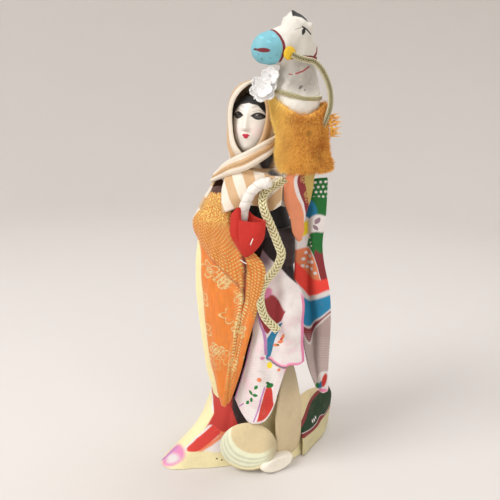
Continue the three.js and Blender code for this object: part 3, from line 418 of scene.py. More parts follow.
class Shape:
    """The points, faces and cloth coordinates of one piece, in millimetres."""

    def __init__(self):
        self.points, self.faces, self.coats, self.shares, self.threads = [], [], [], [], []
        self.count = 0

    def grid(self, points, share=None, thread=None, coat=0):
        """A grid of faces, each with its place on the cloth."""
        rows, columns = points.shape[:2]
        found = spans(points)
        share = found[0] if share is None else share
        thread = found[1] if thread is None else thread
        index = self.count + np.arange(rows * columns).reshape(rows, columns)
        corners = [index[:-1, :-1], index[1:, :-1], index[1:, 1:], index[:-1, 1:]]
        self.faces.append(np.stack(corners, -1).reshape(-1, 4))
        self.coats.append(np.full((rows - 1) * (columns - 1), coat))
        self.points.append(points.reshape(-1, 3))
        self.shares.append(share.reshape(-1, 2))
        self.threads.append(thread.reshape(-1, 2))
        self.count += rows * columns

    def slab(self, middle, thick, coats=(0, 0, 0), lip=0.45):
        """A closed sheet of cloth round a grid of middle points, with a rounded rim."""
        share, thread = spans(middle)
        half = facing(middle) * (np.asarray(thick) / 2)[..., None]
        self.grid(middle + half, share, thread, coats[0])
        self.grid((middle - half)[:, ::-1], share[:, ::-1], thread[:, ::-1], coats[1])
        rows, columns = middle.shape[:2]
        ring = [(0, i) for i in range(columns)] + [(j, columns - 1) for j in range(1, rows)]
        ring += [(rows - 1, i) for i in range(columns - 2, -1, -1)]
        ring += [(j, 0) for j in range(rows - 2, -1, -1)]
        j, i = np.array(ring).T
        inner = middle[np.clip(j, 1, rows - 2), np.clip(i, 1, columns - 2)]
        out = unit(middle[j, i] - inner) * np.linalg.norm(half, axis=-1)[j, i][:, None] * 2 * lip
        rim = np.stack([middle[j, i] + half[j, i], middle[j, i] + out, middle[j, i] - half[j, i]])
        self.grid(rim, np.repeat(share[j, i][None], 3, 0), np.repeat(thread[j, i][None], 3, 0), coats[2])

    def loft(self, rings, share=None, thread=None, caps=True):
        """A closed skin through rings of points, with both ends filled."""
        rings = np.concatenate([rings, rings[:, :1]], 1)
        if caps:
            ends = [np.repeat(rings[k].mean(0)[None], rings.shape[1], 0)[None] for k in (0, -1)]
            rings = np.concatenate([ends[0], rings, ends[1]])
            share, thread = (w if w is None else np.concatenate([w[:1], w, w[-1:]]) for w in (share, thread))
        self.grid(rings, share, thread)

    def sweep(self, path, wide, thick, steps, sides, square=1.0, facing_way=None, across_way=None):
        """A strip or tube along a path; returns the ring centres."""
        share = np.linspace(0, 1, steps)
        middle = spline(path, share)
        ahead = unit(np.gradient(middle, axis=0))
        if across_way is not None:
            across = unit(across_way - ahead * (ahead @ across_way)[:, None])
        elif facing_way is None:
            across = [unit(np.cross(ahead[0], (0.3, 0.2, 1)))]
            for way in ahead[1:]:
                across.append(unit(across[-1] - way * (across[-1] @ way)))
            across = np.array(across)
        else:
            across = unit(np.cross(facing_way, ahead))
        over = np.cross(ahead, across)
        angle = angles(sides)
        x, y = (np.sign(w) * np.abs(w) ** square for w in (np.cos(angle), np.sin(angle)))
        wide, thick = np.broadcast_to(wide, steps), np.broadcast_to(thick, steps)
        rings = middle[:, None] + across[:, None] * (x * wide[:, None] / 2)[..., None]
        rings = rings + over[:, None] * (y * thick[:, None] / 2)[..., None]
        far = np.concatenate([[0], np.cumsum(np.linalg.norm(np.diff(middle, axis=0), axis=1))])
        side = np.append(x, x[:1])
        face = np.stack(np.meshgrid(side * wide[0] / 2, far), -1)
        self.loft(rings, face / (wide[0], far[-1]), face)
        return middle

    def mesh(self, name, materials, sharp=55):
        """The mesh in metres, joined at its seams and facing outwards."""
        made = bpy.data.meshes.new(name)
        faces = np.concatenate(self.faces)
        made.from_pydata(np.concatenate(self.points) * MM, [], faces.tolist())
        for layer, values in (("cloth", self.shares), ("thread", self.threads)):
            flat = np.concatenate(values)[faces.ravel()].astype(np.float32)
            made.uv_layers.new(name=layer).data.foreach_set("uv", flat.ravel())
        made.polygons.foreach_set("material_index", np.concatenate(self.coats).astype(np.int32))
        for material in materials:
            made.materials.append(material)
        work = bmesh.new()
        work.from_mesh(made)
        bmesh.ops.remove_doubles(work, verts=work.verts, dist=MERGE)
        bmesh.ops.dissolve_degenerate(work, edges=work.edges, dist=MERGE)
        bmesh.ops.recalc_face_normals(work, faces=work.faces)
        work.to_mesh(made)
        work.free()
        made.polygons.foreach_set("use_smooth", [True] * len(made.polygons))
        made.set_sharp_from_angle(angle=sharp * DEGREE)
        return made

    def piece(self, name, body, materials, replaced, sharp=55):
        """The finished object, riding on its body in place of its CAD nodes."""
        return dressed(bpy.data.objects.new(name, self.mesh(name, materials, sharp)), body, replaced)


def dressed(obj, body, replaced):
    """Puts an object in the scene on its body, in place of its CAD nodes."""
    if obj.name not in bpy.context.scene.collection.objects:
        bpy.context.scene.collection.objects.link(obj)
    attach(obj, body)
    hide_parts(*replaced)
    return obj


def ruffled(grid, seed, longest, tall):
    """A grid of cloth with soft seeded waves across it."""
    return grid + facing(grid) * waves(grid, seed, longest, tall)[..., None]


def cloth_piece(name, body, middle, thick, materials, replaced, coats=(0, 0, 0), lip=0.45):
    """A cloth of even thickness round its middle points, in place of a CAD node."""
    shape = Shape()
    shape.slab(middle, np.full(middle.shape[:2], thick), coats, lip)
    return shape.piece(name, body, materials, [replaced])


class Nodes:
    """Makes nodes in the tree of a material or of a group."""

    def __init__(self, tree):
        self.tree = tree

    def put(self, socket, value):
        """Links a socket, or sets its value."""
        if isinstance(value, bpy.types.NodeSocket):
            self.tree.links.new(value, socket)
        elif socket.type == "RGBA":
            socket.default_value = (*value, 1)
        elif socket.type == "VECTOR" and len(value) == 2:
            socket.default_value = (*value, 0)
        else:
            socket.default_value = value

    def add(self, kind, settings=None, **inputs):
        """A node with its settings and inputs, by their names."""
        node = self.tree.nodes.new("ShaderNode" + kind)
        for name, value in (settings or {}).items():
            setattr(node, name, value)
        for name, value in inputs.items():
            self.put(node.inputs[name.replace("_", " ")], value)
        return node

    def math(self, operation, *values, clamp=False):
        """The result of a sum on numbers."""
        node = self.add("Math", {"operation": operation, "use_clamp": clamp})
        for socket, value in zip(node.inputs, values):
            self.put(socket, value)
        return node.outputs[0]

    def times(self, first, *others):
        """The product of numbers."""
        for other in others:
            first = self.math("MULTIPLY", first, other)
        return first

    def plus(self, first, second):
        """The sum of two numbers."""
        return self.math("ADD", first, second)

    def minus(self, first, second):
        """The difference of two numbers."""
        return self.math("SUBTRACT", first, second)

    def vector(self, operation, *values):
        """The result of a sum on vectors."""
        node = self.add("VectorMath", {"operation": operation})
        sockets = [node.inputs["Scale"]] if operation == "SCALE" else []
        for socket, value in zip([node.inputs[0], *(sockets or node.inputs[1:])], values):
            self.put(socket, value)
        return node.outputs["Value" if operation in ("LENGTH", "DISTANCE", "DOT_PRODUCT") else "Vector"]

    def mix(self, mask, below, above):
        """Two colours mixed by a mask."""
        node = self.add("Mix", {"data_type": "RGBA"})
        for socket, value in zip((node.inputs[0], node.inputs[6], node.inputs[7]), (mask, below, above)):
            self.put(socket, value)
        return node.outputs[2]

    def step(self, value, low, high):
        """A smooth step from 0 to 1 between two values."""
        settings = {"interpolation_type": "SMOOTHSTEP"}
        return self.add("MapRange", settings, Value=value, From_Min=low, From_Max=high).outputs["Result"]

    def window(self, value, opens, shuts):
        """1 between two soft edges, each given as a step."""
        return self.times(self.step(value, *opens), self.step(value, *shuts))

    def curve(self, value, points):
        """A drawn curve, from 0 to 1 both ways."""
        node = self.add("FloatCurve", Value=value)
        drawn = node.mapping.curves[0]
        points = sorted(points)
        drawn.points[0].location = (max(0, points[0][0]), points[0][1])
        drawn.points[1].location = (min(1, points[-1][0]), points[-1][1])
        for x, y in points[1:-1]:
            drawn.points.new(x, y)
        node.mapping.update()
        return node.outputs[0]

    def split(self, vector):
        """The three numbers of a vector."""
        return self.add("SeparateXYZ", Vector=vector).outputs

    def join(self, x, y, z=0.0):
        """A vector of three numbers."""
        return self.add("CombineXYZ", X=x, Y=y, Z=z).outputs[0]

    def noise(self, place, scale, detail=3.0, rough=0.55):
        """Soft noise from 0 to 1."""
        return self.add("TexNoise", Vector=place, Scale=scale, Detail=detail, Roughness=rough).outputs["Fac"]

    def away(self, spot):
        """The way from a spot's centre, turned with the spot, in shares of its half sizes."""
        off = self.vector("SUBTRACT", spot["Vector"], spot["Centre"])
        turn = self.times(spot["Turn"], -1.0)
        turned = self.add("VectorRotate", {"rotation_type": "Z_AXIS"}, Vector=off, Angle=turn)
        return self.vector("DIVIDE", turned.outputs[0], spot["Size"])

    def use(self, name, **inputs):
        """The outputs of a placed node group."""
        return self.add("Group", {"node_tree": bpy.data.node_groups[name]}, **inputs).outputs


def group(name, inputs, outputs):
    """A new shader node group, as its node maker, input sockets and output sockets."""
    tree = bpy.data.node_groups.new(name, "ShaderNodeTree")
    kinds = {"V": "NodeSocketVector", "F": "NodeSocketFloat", "C": "NodeSocketColor"}
    for label, kind in inputs.items():
        tree.interface.new_socket(name=label, in_out="INPUT", socket_type=kinds[kind])
    for label, kind in outputs.items():
        tree.interface.new_socket(name=label, in_out="OUTPUT", socket_type=kinds[kind])
    n = Nodes(tree)
    into, out = tree.nodes.new("NodeGroupInput").outputs, tree.nodes.new("NodeGroupOutput").inputs
    return n, into, out


def make_groups():
    """The effects that several finishes share."""
    n, i, o = group("woven threads", {"Vector": "V", "Pitch": "F"}, {"Height": "F", "Tone": "F"})
    x, y, _ = n.split(n.vector("SCALE", i["Vector"], n.math("DIVIDE", TURN / 2, i["Pitch"])))
    over = n.times(n.math("SINE", x), n.math("SINE", y))
    uneven = n.noise(n.vector("MULTIPLY", i["Vector"], (2.2, 0.5, 1)), 1.6)
    height = n.plus(n.times(over, 0.32), n.math("MULTIPLY_ADD", uneven, 0.5, 0.25))
    n.put(o["Height"], height)
    n.put(o["Tone"], n.math("MULTIPLY_ADD", height, 0.16, 0.9))

    n, i, o = group("handled cloth", {"Color": "C", "Vector": "V", "Soil": "F"}, {"Color": "C"})
    wide = n.noise(i["Vector"], 90.0, 4.0)
    fine = n.noise(i["Vector"], 900.0, 2.0)
    tone = n.plus(n.math("MULTIPLY_ADD", wide, 0.3, 0.78), n.times(fine, 0.14))
    toned = n.vector("SCALE", i["Color"], tone)
    soil = n.times(n.step(n.noise(i["Vector"], 160.0, 5.0, 0.65), 0.56, 0.78), i["Soil"])
    n.put(o["Color"], n.mix(soil, toned, (0.32, 0.24, 0.16)))

    sockets = {"Vector": "V", "Centre": "V", "Size": "V", "Turn": "F", "Soft": "F"}
    n, i, o = group("painted spot", sockets, {"Mask": "F"})
    far = n.vector("LENGTH", n.vector("MULTIPLY", n.away(i), (1, 1, 0)))
    n.put(o["Mask"], n.step(far, n.plus(1.0, i["Soft"]), n.minus(1.0, i["Soft"])))

    n, i, o = group("painted almond", sockets, {"Mask": "F"})
    x, y, _ = n.split(n.away(i))
    lid = n.minus(1.0, n.times(x, x))
    n.put(o["Mask"], n.step(n.minus(lid, n.math("ABSOLUTE", y)), n.times(i["Soft"], -1.0), i["Soft"]))

    sockets = {"Vector": "V", "Start": "V", "End": "V", "Width": "F", "Soft": "F"}
    n, i, o = group("painted stroke", sockets, {"Mask": "F"})
    whole, part = n.vector("SUBTRACT", i["End"], i["Start"]), n.vector("SUBTRACT", i["Vector"], i["Start"])
    along = n.vector("DOT_PRODUCT", part, whole)
    share = n.math("DIVIDE", along, n.vector("DOT_PRODUCT", whole, whole), clamp=True)
    far = n.vector("LENGTH", n.vector("SUBTRACT", part, n.vector("SCALE", whole, share)))
    half = n.times(i["Width"], 0.5)
    n.put(o["Mask"], n.step(far, n.plus(half, i["Soft"]), n.minus(half, i["Soft"])))

    n, i, o = group("tied dots", {"Vector": "V", "Pitch": "V", "Size": "F"}, {"Mask": "F"})
    x, y, _ = n.split(n.vector("DIVIDE", i["Vector"], i["Pitch"]))
    row = n.math("FLOOR", y)
    x = n.plus(x, n.times(n.math("MODULO", row, 2.0), 0.5))
    dx, dy = (n.minus(n.math("FRACT", t), 0.5) for t in (x, y))
    far = n.vector("LENGTH", n.join(dx, dy))
    n.put(o["Mask"], n.step(far, n.plus(i["Size"], 0.08), n.minus(i["Size"], 0.08)))

    sockets = {"Vector": "V", "Twill": "F", "Figures": "F"}
    n, i, o = group("gold figures", sockets, {"Mask": "F", "Height": "F"})
    x, y, _ = n.split(i["Vector"])
    bend = n.times(n.math("PINGPONG", x, 4.2), 0.9)
    slope = n.plus(y, bend)
    lines = n.step(n.math("SINE", n.times(slope, 5.4)), -0.1, 0.4)
    beads = n.step(n.math("SINE", n.times(x, 8.6)), -0.6, 0.1)
    twill = n.times(lines, beads, i["Twill"])
    cells = n.add("TexVoronoi", {"voronoi_dimensions": "2D"}, Vector=i["Vector"], Scale=0.125, Randomness=1.0)
    centre = cells.outputs["Position"]
    dx, dy, _ = n.split(n.vector("SUBTRACT", i["Vector"], centre))
    around = n.math("ARCTAN2", dy, dx)
    far = n.vector("LENGTH", n.join(dx, dy))
    lobes = n.math("ABSOLUTE", n.math("SINE", n.times(around, 2.5)))
    beyond = n.minus(far, n.math("MULTIPLY_ADD", lobes, 1.3, 1.75))
    petals = n.math("ABSOLUTE", beyond)
    stitch = n.step(n.math("SINE", n.math("MULTIPLY_ADD", x, 5.2, n.times(y, 3.4))), 0.05, 0.5)
    chosen = n.step(n.split(cells.outputs["Color"])[0], 0.42, 0.5)
    filled = n.times(n.step(beyond, 0.0, -0.25), stitch, chosen)
    heart = n.math("ABSOLUTE", n.minus(far, 0.8))
    drawn = n.math("MAXIMUM", n.step(petals, 0.36, 0.14), n.step(heart, 0.26, 0.08))
    leaf = n.times(n.step(far, 1.7, 1.3), n.step(n.math("SINE", n.times(slope, 8.0)), 0.0, 0.5))
    figure = n.times(n.math("MAXIMUM", n.math("MAXIMUM", drawn, leaf), filled), i["Figures"])
    figure = n.times(figure, n.step(n.noise(i["Vector"], 3.2), 0.36, 0.5))
    figure = n.times(figure, n.step(n.noise(i["Vector"], 0.17, 1.0), 0.34, 0.44))
    mask = n.math("MAXIMUM", twill, figure)
    n.put(o["Mask"], mask)
    streaks = n.noise(n.vector("MULTIPLY", i["Vector"], (3.2, 0.28, 1)), 1.0, 4.0)
    n.put(o["Height"], n.plus(n.times(mask, 0.6), n.times(streaks, 0.6)))

    n, i, o = group("plaited thread", {"Vector": "V", "Width": "F"}, {"Tone": "F", "Height": "F", "Gap": "F"})
    x, y, _ = n.split(n.vector("SCALE", i["Vector"], n.math("DIVIDE", 2.6, i["Width"])))
    side = n.math("ABSOLUTE", x)
    slope = n.plus(y, n.times(side, 1.1))
    plait = n.math("SINE", n.times(slope, 5.2))
    rib = n.math("SINE", n.times(x, 9.0))
    # Painted highlight: glint noise lightens the braid in patches and sets most of where the pale thread
    # colour goes
    glint = n.noise(n.vector("MULTIPLY", i["Vector"], (2.4, 1.3, 1)), 1.2, 3.0)
    hem = n.step(side, 0.85, 1.05)
    pale = n.plus(n.times(plait, 0.22), n.plus(glint, n.times(hem, 0.2)))
    n.put(o["Tone"], n.step(pale, 0.3, 0.7))
    n.put(o["Height"], n.plus(n.times(plait, 0.4), n.times(rib, 0.4)))
    speck = n.math("MULTIPLY_ADD", n.noise(i["Vector"], 1.7, 3.0, 0.7), 2.2, -1.1)
    holes = n.plus(n.times(plait, 0.3), n.times(rib, 0.25))
    loose = n.step(n.plus(holes, speck), -0.22, -0.42)
    inside = n.step(side, 1.0, 0.75)
    n.put(o["Gap"], n.times(loose, inside))

    n, i, o = group("chalk paint", {"Color": "C", "Vector": "V", "Dirt": "F"}, {"Color": "C", "Height": "F"})
    wide = n.noise(i["Vector"], 130.0, 5.0, 0.6)
    fine = n.noise(i["Vector"], 1400.0, 3.0)
    tone = n.plus(n.math("MULTIPLY_ADD", wide, 0.16, 0.88), n.times(fine, 0.06))
    grey = n.times(n.step(wide, 0.55, 0.75), i["Dirt"])
    n.put(o["Color"], n.mix(grey, n.vector("SCALE", i["Color"], tone), (0.4, 0.37, 0.33)))
    n.put(o["Height"], n.plus(n.times(wide, 0.5), n.times(fine, 0.3)))


class Finish(Nodes):
    """One material, painted layer over layer."""

    def __init__(self, name, ground, rough=0.8, **shader):
        self.material = bpy.data.materials.new(name)
        self.material.use_nodes = True
        super().__init__(self.material.node_tree)
        self.tree.nodes.clear()
        self.shader = self.add("BsdfPrincipled", Roughness=rough, **shader)
        self.put(self.add("OutputMaterial").inputs["Surface"], self.shader.outputs[0])
        self.cloth = self.add("UVMap", {"uv_map": "cloth"}).outputs[0]
        self.thread = self.add("UVMap", {"uv_map": "thread"}).outputs[0]
        self.place = self.add("TexCoord").outputs["Object"]
        self.u, self.v, _ = self.split(self.cloth)
        self.ground = ground
        self.middle = None

    def cut_from(self, middle):
        """Takes later spots and strokes as shares of a cloth that hangs facing the front."""
        x, _, z = self.split(self.vector("SCALE", self.place, 1 / MM))
        self.middle, self.front = middle, self.join(x, z)

    def seen(self, share):
        """Sideways and upward millimetres of a share of the cloth."""
        rows, columns = self.middle.shape[:2]
        place = self.middle[round(share[1] * (rows - 1)), round(share[0] * (columns - 1))]
        return place[0], place[2]

    def paint(self, mask, above):
        """A colour over what is painted so far."""
        self.ground = self.mix(mask, self.ground, above)

    def over(self, points):
        """The mask of all that lies further up the cloth than a drawn line."""
        return self.step(self.minus(self.curve(self.u, points), self.v), -0.004, 0.004)

    def below(self, points, above, soft=0.006, within=None):
        """A colour over all that lies further down the cloth than a drawn line."""
        mask = self.step(self.minus(self.v, self.curve(self.u, points)), -soft, soft)
        self.paint(self.times(mask, within) if within is not None else mask, above)

    def mark(self, on, centre, half, turn, soft, kind="painted spot"):
        """The mask of a spot or almond."""
        return self.use(kind, Vector=on, Centre=centre, Size=(*half, 1), Turn=turn, Soft=soft)["Mask"]

    def spot(self, centre, half, above, turn=0.0, soft=0.12, kind="painted spot", on=None):
        """A painted spot or almond."""
        if on is None and self.middle is not None:
            on, centre = self.front, self.seen(centre)
        self.paint(self.mark(on or self.cloth, centre, half, turn, soft, kind), above)

    def stroke(self, points, width, above, soft=0.12, on=None):
        """A painted line through points."""
        if on is None and self.middle is not None:
            on, points = self.front, [self.seen(p) for p in points]
        for start, end in zip(points, points[1:]):
            ends = {"Vector": on or self.cloth, "Start": start, "End": end}
            self.paint(self.use("painted stroke", **ends, Width=width, Soft=soft)["Mask"], above)

    def wear(self, soil):
        """Uneven tone and soil over what is painted so far."""
        self.ground = self.use("handled cloth", Color=self.ground, Vector=self.place, Soil=soil)["Color"]

    def chalk(self, dirt):
        """Chalky tone and dirt over what is painted so far; gives the relief."""
        made = self.use("chalk paint", Color=self.ground, Vector=self.place, Dirt=dirt)
        self.ground = made["Color"]
        return made["Height"]

    def woven(self, soil=0.25, pitch=None, depth=0.09, extra=None):
        """Ends a cloth: thread tone, wear and relief."""
        pitch = pitch or size("weave")
        weave = self.use("woven threads", Vector=self.thread, Pitch=pitch)
        self.wear(soil)
        self.ground = self.vector("SCALE", self.ground, weave["Tone"])
        height = weave["Height"] if extra is None else self.plus(weave["Height"], extra)
        return self.done(height, depth)

    def done(self, height=None, depth=0.1):
        """Links colour and relief, and gives the material."""
        self.put(self.shader.inputs["Base Color"], self.ground)
        if height is not None:
            bump = self.add("Bump", Height=height, Distance=depth * MM, Strength=1.0)
            self.put(self.shader.inputs["Normal"], bump.outputs[0])
        return self.material


def plain_cloth(name, shown, rough=0.85, soil=0.25, pitch=None, depth=0.09, **shader):
    """A cloth of one dye."""
    return Finish(name, tint(shown), rough, **shader).woven(soil, pitch, depth)


def gold_plait(name, width, dull=1.0, seam=0.0):
    """Flat metallic braid; dull darkens it, and seam draws a dark line down its middle and a painted
    highlight along its edges.
    """
    f = Finish(name, shade(tint("braid"), dull), 0.45, Metallic=0.35)
    plait = f.use("plaited thread", Vector=f.thread, Width=width)
    f.paint(plait["Tone"], shade(tint("braid_pale"), dull))
    f.paint(plait["Gap"], shade(tint("braid"), 0.3 * dull))
    side = f.math("ABSOLUTE", f.split(f.thread)[0])
    f.paint(f.times(f.step(side, 0.16 * width, 0.06 * width), seam), tint("braid", 0.3))
    # Painted highlight: pale lines along both edges
    f.paint(f.times(f.step(side, 0.36 * width, 0.44 * width), seam), tint("braid_pale"))
    f.wear(0.3)
    return f.done(plait["Height"], 0.16)


def striped(name, bands, slope, shift=0.0, shadow=None):
    """Striped satin; bands is the stripes' width, slope how they run and shadow the place and size of a
    painted shadow in a hollow.
    """
    f = Finish(name, tint("scarf_white"), 0.5, Sheen_Weight=0.25)
    x, y, _ = f.split(f.thread)
    along = f.plus(f.times(x, slope[0]), f.math("MULTIPLY_ADD", y, slope[1], shift))
    uneven = f.times(f.noise(f.thread, 0.25), 0.3)
    turn = f.math("FRACT", f.math("DIVIDE", f.plus(along, uneven), bands))
    edge = 0.25 / bands
    f.paint(f.window(turn, (0.0, edge), (0.5 + edge, 0.5)), tint("scarf_beige"))
    if shadow:
        x, y, z = f.split(f.vector("SCALE", f.place, 1 / MM))
        # Painted shadow: a dark patch on the front of the cloth where it lies in shade
        hollow = f.mark(f.join(x, z), *shadow, 0.0, 0.15)
        f.paint(f.times(hollow, f.step(y, -5, -7)), tint("maroon_black", 0.5))
    return f.woven(0.3, 0.26, 0.05)


def set_at(points, turn, axis):
    """Points turned about the vertical and moved to an upright axis."""
    points = np.asarray(points, float)
    c, s = math.cos(turn), math.sin(turn)
    x, y = points[..., 0], points[..., 1]
    return np.stack([x * c - y * s + axis[0], x * s + y * c + axis[1], points[..., 2]], -1)


def horse_place(points):
    """Points from the horse's own frame to the doll's."""
    return set_at(points, HORSE_TURN, HORSE_PLACE)


def on_head(points, turn=FACE_TURN):
    """Points of the head, turned and moved to its axis."""
    return set_at(points, turn, HEAD_AXIS)


def oval(wide, deep, around, height, centre=(0, 0)):
    """Points of level ovals round a centre, with angle 0 in front."""
    x, y = centre[0] + wide * np.sin(around), centre[1] - deep * np.cos(around)
    return np.stack(np.broadcast_arrays(x, y, height), -1)


def read_at(rings, heights):
    """Rows of a table of rings, read at some heights."""
    rings = np.asarray(rings, float)
    return spline(rings, np.interp(heights, rings[:, 0], np.linspace(0, 1, len(rings))))


def head_oval(read, around, grow, height):
    """Ovals of a head, from their half widths, fronts and backs."""
    deep = np.where(np.cos(around) > 0, read[..., 2], read[..., 3]) + grow
    return oval(read[..., 1] + grow, deep, around, height)


def head_rings(rings, heights, around, grow=0.0):
    """Rings of a head at some heights, about the head's axis."""
    read = read_at(rings, heights)[:, None]
    return head_oval(read, around, grow, read[..., 0])


def body_rings(heights, around, grow):
    """Rings of the wrapped body."""
    read = read_at(BODY, heights)[:, None]
    wide, deep = read[..., 1] + grow, read[..., 2] + grow
    return oval(wide, deep, around, np.asarray(heights)[:, None], (read[..., 3], read[..., 4]))


def skin_of(mesh):
    """The points of a mesh in millimetres, and their normals."""
    found = []
    for name in ("co", "normal"):
        values = np.zeros(len(mesh.vertices) * 3, np.float32)
        mesh.vertices.foreach_get(name, values)
        found.append(values.reshape(-1, 3))
    return found[0] / MM, found[1]


def thread_gold():
    """Loose gold threads."""
    f = Finish("gold fray", tint("gold"), 0.45, Metallic=0.3)
    f.ground = f.mix(f.noise(f.place, 2500.0), tint("gold", 0.55), tint("gold"))
    return f.done(f.noise(f.place, 5000.0), 0.03)


def node_tree(name, inputs):
    """A new Geometry Nodes tree with named number inputs."""
    tree = bpy.data.node_groups.new(name, "GeometryNodeTree")
    tree.interface.new_socket(name="Geometry", in_out="INPUT", socket_type="NodeSocketGeometry")
    for label in inputs:
        tree.interface.new_socket(name=label, in_out="INPUT", socket_type="NodeSocketFloat")
    tree.interface.new_socket(name="Geometry", in_out="OUTPUT", socket_type="NodeSocketGeometry")
    into, out = tree.nodes.new("NodeGroupInput").outputs, tree.nodes.new("NodeGroupOutput").inputs
    return tree, into, out


def node(tree, kind, links=None, **settings):
    """A Geometry Nodes node with its settings and inputs."""
    made = tree.nodes.new(kind)
    for name, value in settings.items():
        setattr(made, name, value)
    for key, value in (links or {}).items():
        if isinstance(value, bpy.types.NodeSocket):
            tree.links.new(value, made.inputs[key])
        else:
            made.inputs[key].default_value = value
    return made


def frozen(obj):
    """The mesh of an object with its modifiers in it."""
    bpy.context.view_layer.update()
    return bpy.data.meshes.new_from_object(obj.evaluated_get(bpy.context.evaluated_depsgraph_get()))


def grown(obj, tree, values):
    """Runs a tree on an object and keeps its result as a plain mesh."""
    modifier = obj.modifiers.new(tree.name, "NODES")
    modifier.node_group = tree
    for item in tree.interface.items_tree:
        if item.in_out == "INPUT" and item.name in values:
            modifier[item.identifier] = values[item.name]
    done = frozen(obj)
    obj.modifiers.remove(modifier)
    done.name = obj.name
    obj.data = done
    return obj


def strands(tree, into, points, ways, seed, material, low):
    """Thin tapered strands on points, realised, with their material."""
    cone = node(
        tree, "GeometryNodeMeshCone",
        {"Vertices": 4, "Radius Top": 0.00002, "Radius Bottom": into["Strand"], "Depth": into["Length"]},
        fill_type="NGON"
    )
    spread = node(
        tree, "FunctionNodeRandomValue", {"Min": (-0.5, -0.5, -0.5), "Max": (0.5, 0.5, 0.5), "Seed": seed},
        data_type="FLOAT_VECTOR"
    )
    way = node(tree, "ShaderNodeVectorMath", {0: ways, 1: spread.outputs[0]})
    turn = node(tree, "FunctionNodeAlignRotationToVector", {"Vector": way.outputs[0]}, axis="Z")
    tall = node(tree, "FunctionNodeRandomValue", {"Seed": seed + 1}, data_type="FLOAT")
    tall.inputs[2].default_value, tall.inputs[3].default_value = low, 1.2
    grow = node(tree, "ShaderNodeCombineXYZ", {"X": 1.0, "Y": 1.0, "Z": tall.outputs[1]})
    placed = node(
        tree, "GeometryNodeInstanceOnPoints",
        {
            "Points": points, "Instance": cone.outputs["Mesh"], "Rotation": turn.outputs[0],
            "Scale": grow.outputs[0]
        }
    )
    real = node(tree, "GeometryNodeRealizeInstances", {"Geometry": placed.outputs[0]})
    return node(
        tree, "GeometryNodeSetMaterial", {"Geometry": real.outputs[0], "Material": material}
    ).outputs[0]


def fringe(name, lines, material, way, sizes):
    """Frayed threads along lines of points; sizes are their spacing, length and thickness."""
    mesh = bpy.data.meshes.new(name)
    points, edges, first = [], [], 0
    for line in lines:
        points += (line * MM).tolist()
        edges += [(first + k, first + k + 1) for k in range(len(line) - 1)]
        first += len(line)
    mesh.from_pydata(points, edges, [])
    obj = bpy.data.objects.new(name, mesh)
    bpy.context.scene.collection.objects.link(obj)
    tree, into, out = node_tree("frayed edge", ("Spacing", "Length", "Strand"))
    curve = node(tree, "GeometryNodeMeshToCurve", {"Mesh": into["Geometry"]})
    dots = node(
        tree, "GeometryNodeCurveToPoints", {"Curve": curve.outputs[0], "Length": into["Spacing"]},
        mode="LENGTH"
    )
    front = node(tree, "ShaderNodeCombineXYZ", dict(zip("XYZ", way)))
    tree.links.new(strands(tree, into, dots.outputs["Points"], front.outputs[0], 7, material, 0.5), out[0])
    return grown(obj, tree, {k: s * MM for k, s in zip(("Spacing", "Length", "Strand"), sizes)})


class Stage(bpy.types.Operator):
    """Camera, soft light and a pale floor that runs up into a backdrop"""

    bl_idname = "doll.stage"
    bl_label = "Stage"

    def execute(self, context):
        self.camera(context.scene)
        self.lights(context.scene)
        self.floor(context.scene)
        return {"FINISHED"}

    def camera(self, scene):
        """The camera, placed as the photo shows the doll."""
        ahead = Vector((-math.sin(CAMERA_YAW), math.cos(CAMERA_YAW), -math.tan(CAMERA_FALL))).normalized()
        right = ahead.cross(Vector((0, 0, 1))).normalized()
        up = right.cross(ahead)
        c, s = math.cos(CAMERA_ROLL), math.sin(CAMERA_ROLL)
        right, up = right * c + up * s, up * c - right * s
        lens = bpy.data.cameras.new("camera")
        lens.lens, lens.sensor_width, lens.clip_start = CAMERA_LENS, 36, 0.01
        camera = bpy.data.objects.new("camera", lens)
        scene.collection.objects.link(camera)
        axes = Matrix((right, up, -ahead)).transposed().to_4x4()
        camera.matrix_world = Matrix.Translation(Vector(CAMERA_PLACE) * MM) @ axes
        scene.camera = camera
        scene.view_settings.view_transform = "Standard"

    def lights(self, scene):
        """A pale room and three soft lamps."""
        world = bpy.data.worlds.new("soft room")
        world.use_nodes = True
        sky = world.node_tree.nodes["Background"].inputs
        sky["Color"].default_value, sky["Strength"].default_value = (1, 0.98, 0.96, 1), 0.5
        scene.world = world
        for name, place, wide, power in LIGHTS:
            lamp = bpy.data.lights.new(name, "AREA")
            lamp.size, lamp.energy = wide * MM, power
            light = bpy.data.objects.new(name, lamp)
            light.location = Vector(place) * MM
            aim = Vector((0, 0, 80)) * MM - light.location
            light.rotation_euler = aim.to_track_quat("-Z", "Y").to_euler()
            scene.collection.objects.link(light)

    def floor(self, scene):
        """A flat floor that bends up into a wall."""
        bend = np.linspace(0, TURN / 4, 14)[1:]
        curved = FLOOR_REACH + FLOOR_BEND * np.sin(bend)
        reach = np.concatenate([[0, 120, 260, FLOOR_REACH], curved, [FLOOR_REACH + FLOOR_BEND]])
        rise = np.concatenate([[0, 0, 0, 0], FLOOR_BEND - FLOOR_BEND * np.cos(bend), [WALL_HEIGHT]])
        around = np.linspace(0, TURN, 65)
        bowl = oval(reach[:, None], -reach[:, None], around, (rise - 0.05)[:, None])
        sweep = Shape()
        sweep.grid(bowl)
        finish = Finish("pale floor", tint("floor"), 0.9)
        finish.ground = finish.mix(finish.noise(finish.place, 9.0), tint("floor", 0.97), tint("floor"))
        floor = bpy.data.objects.new("floor", sweep.mesh("floor", [finish.done()]))
        floor.data.flip_normals()
        scene.collection.objects.link(floor)


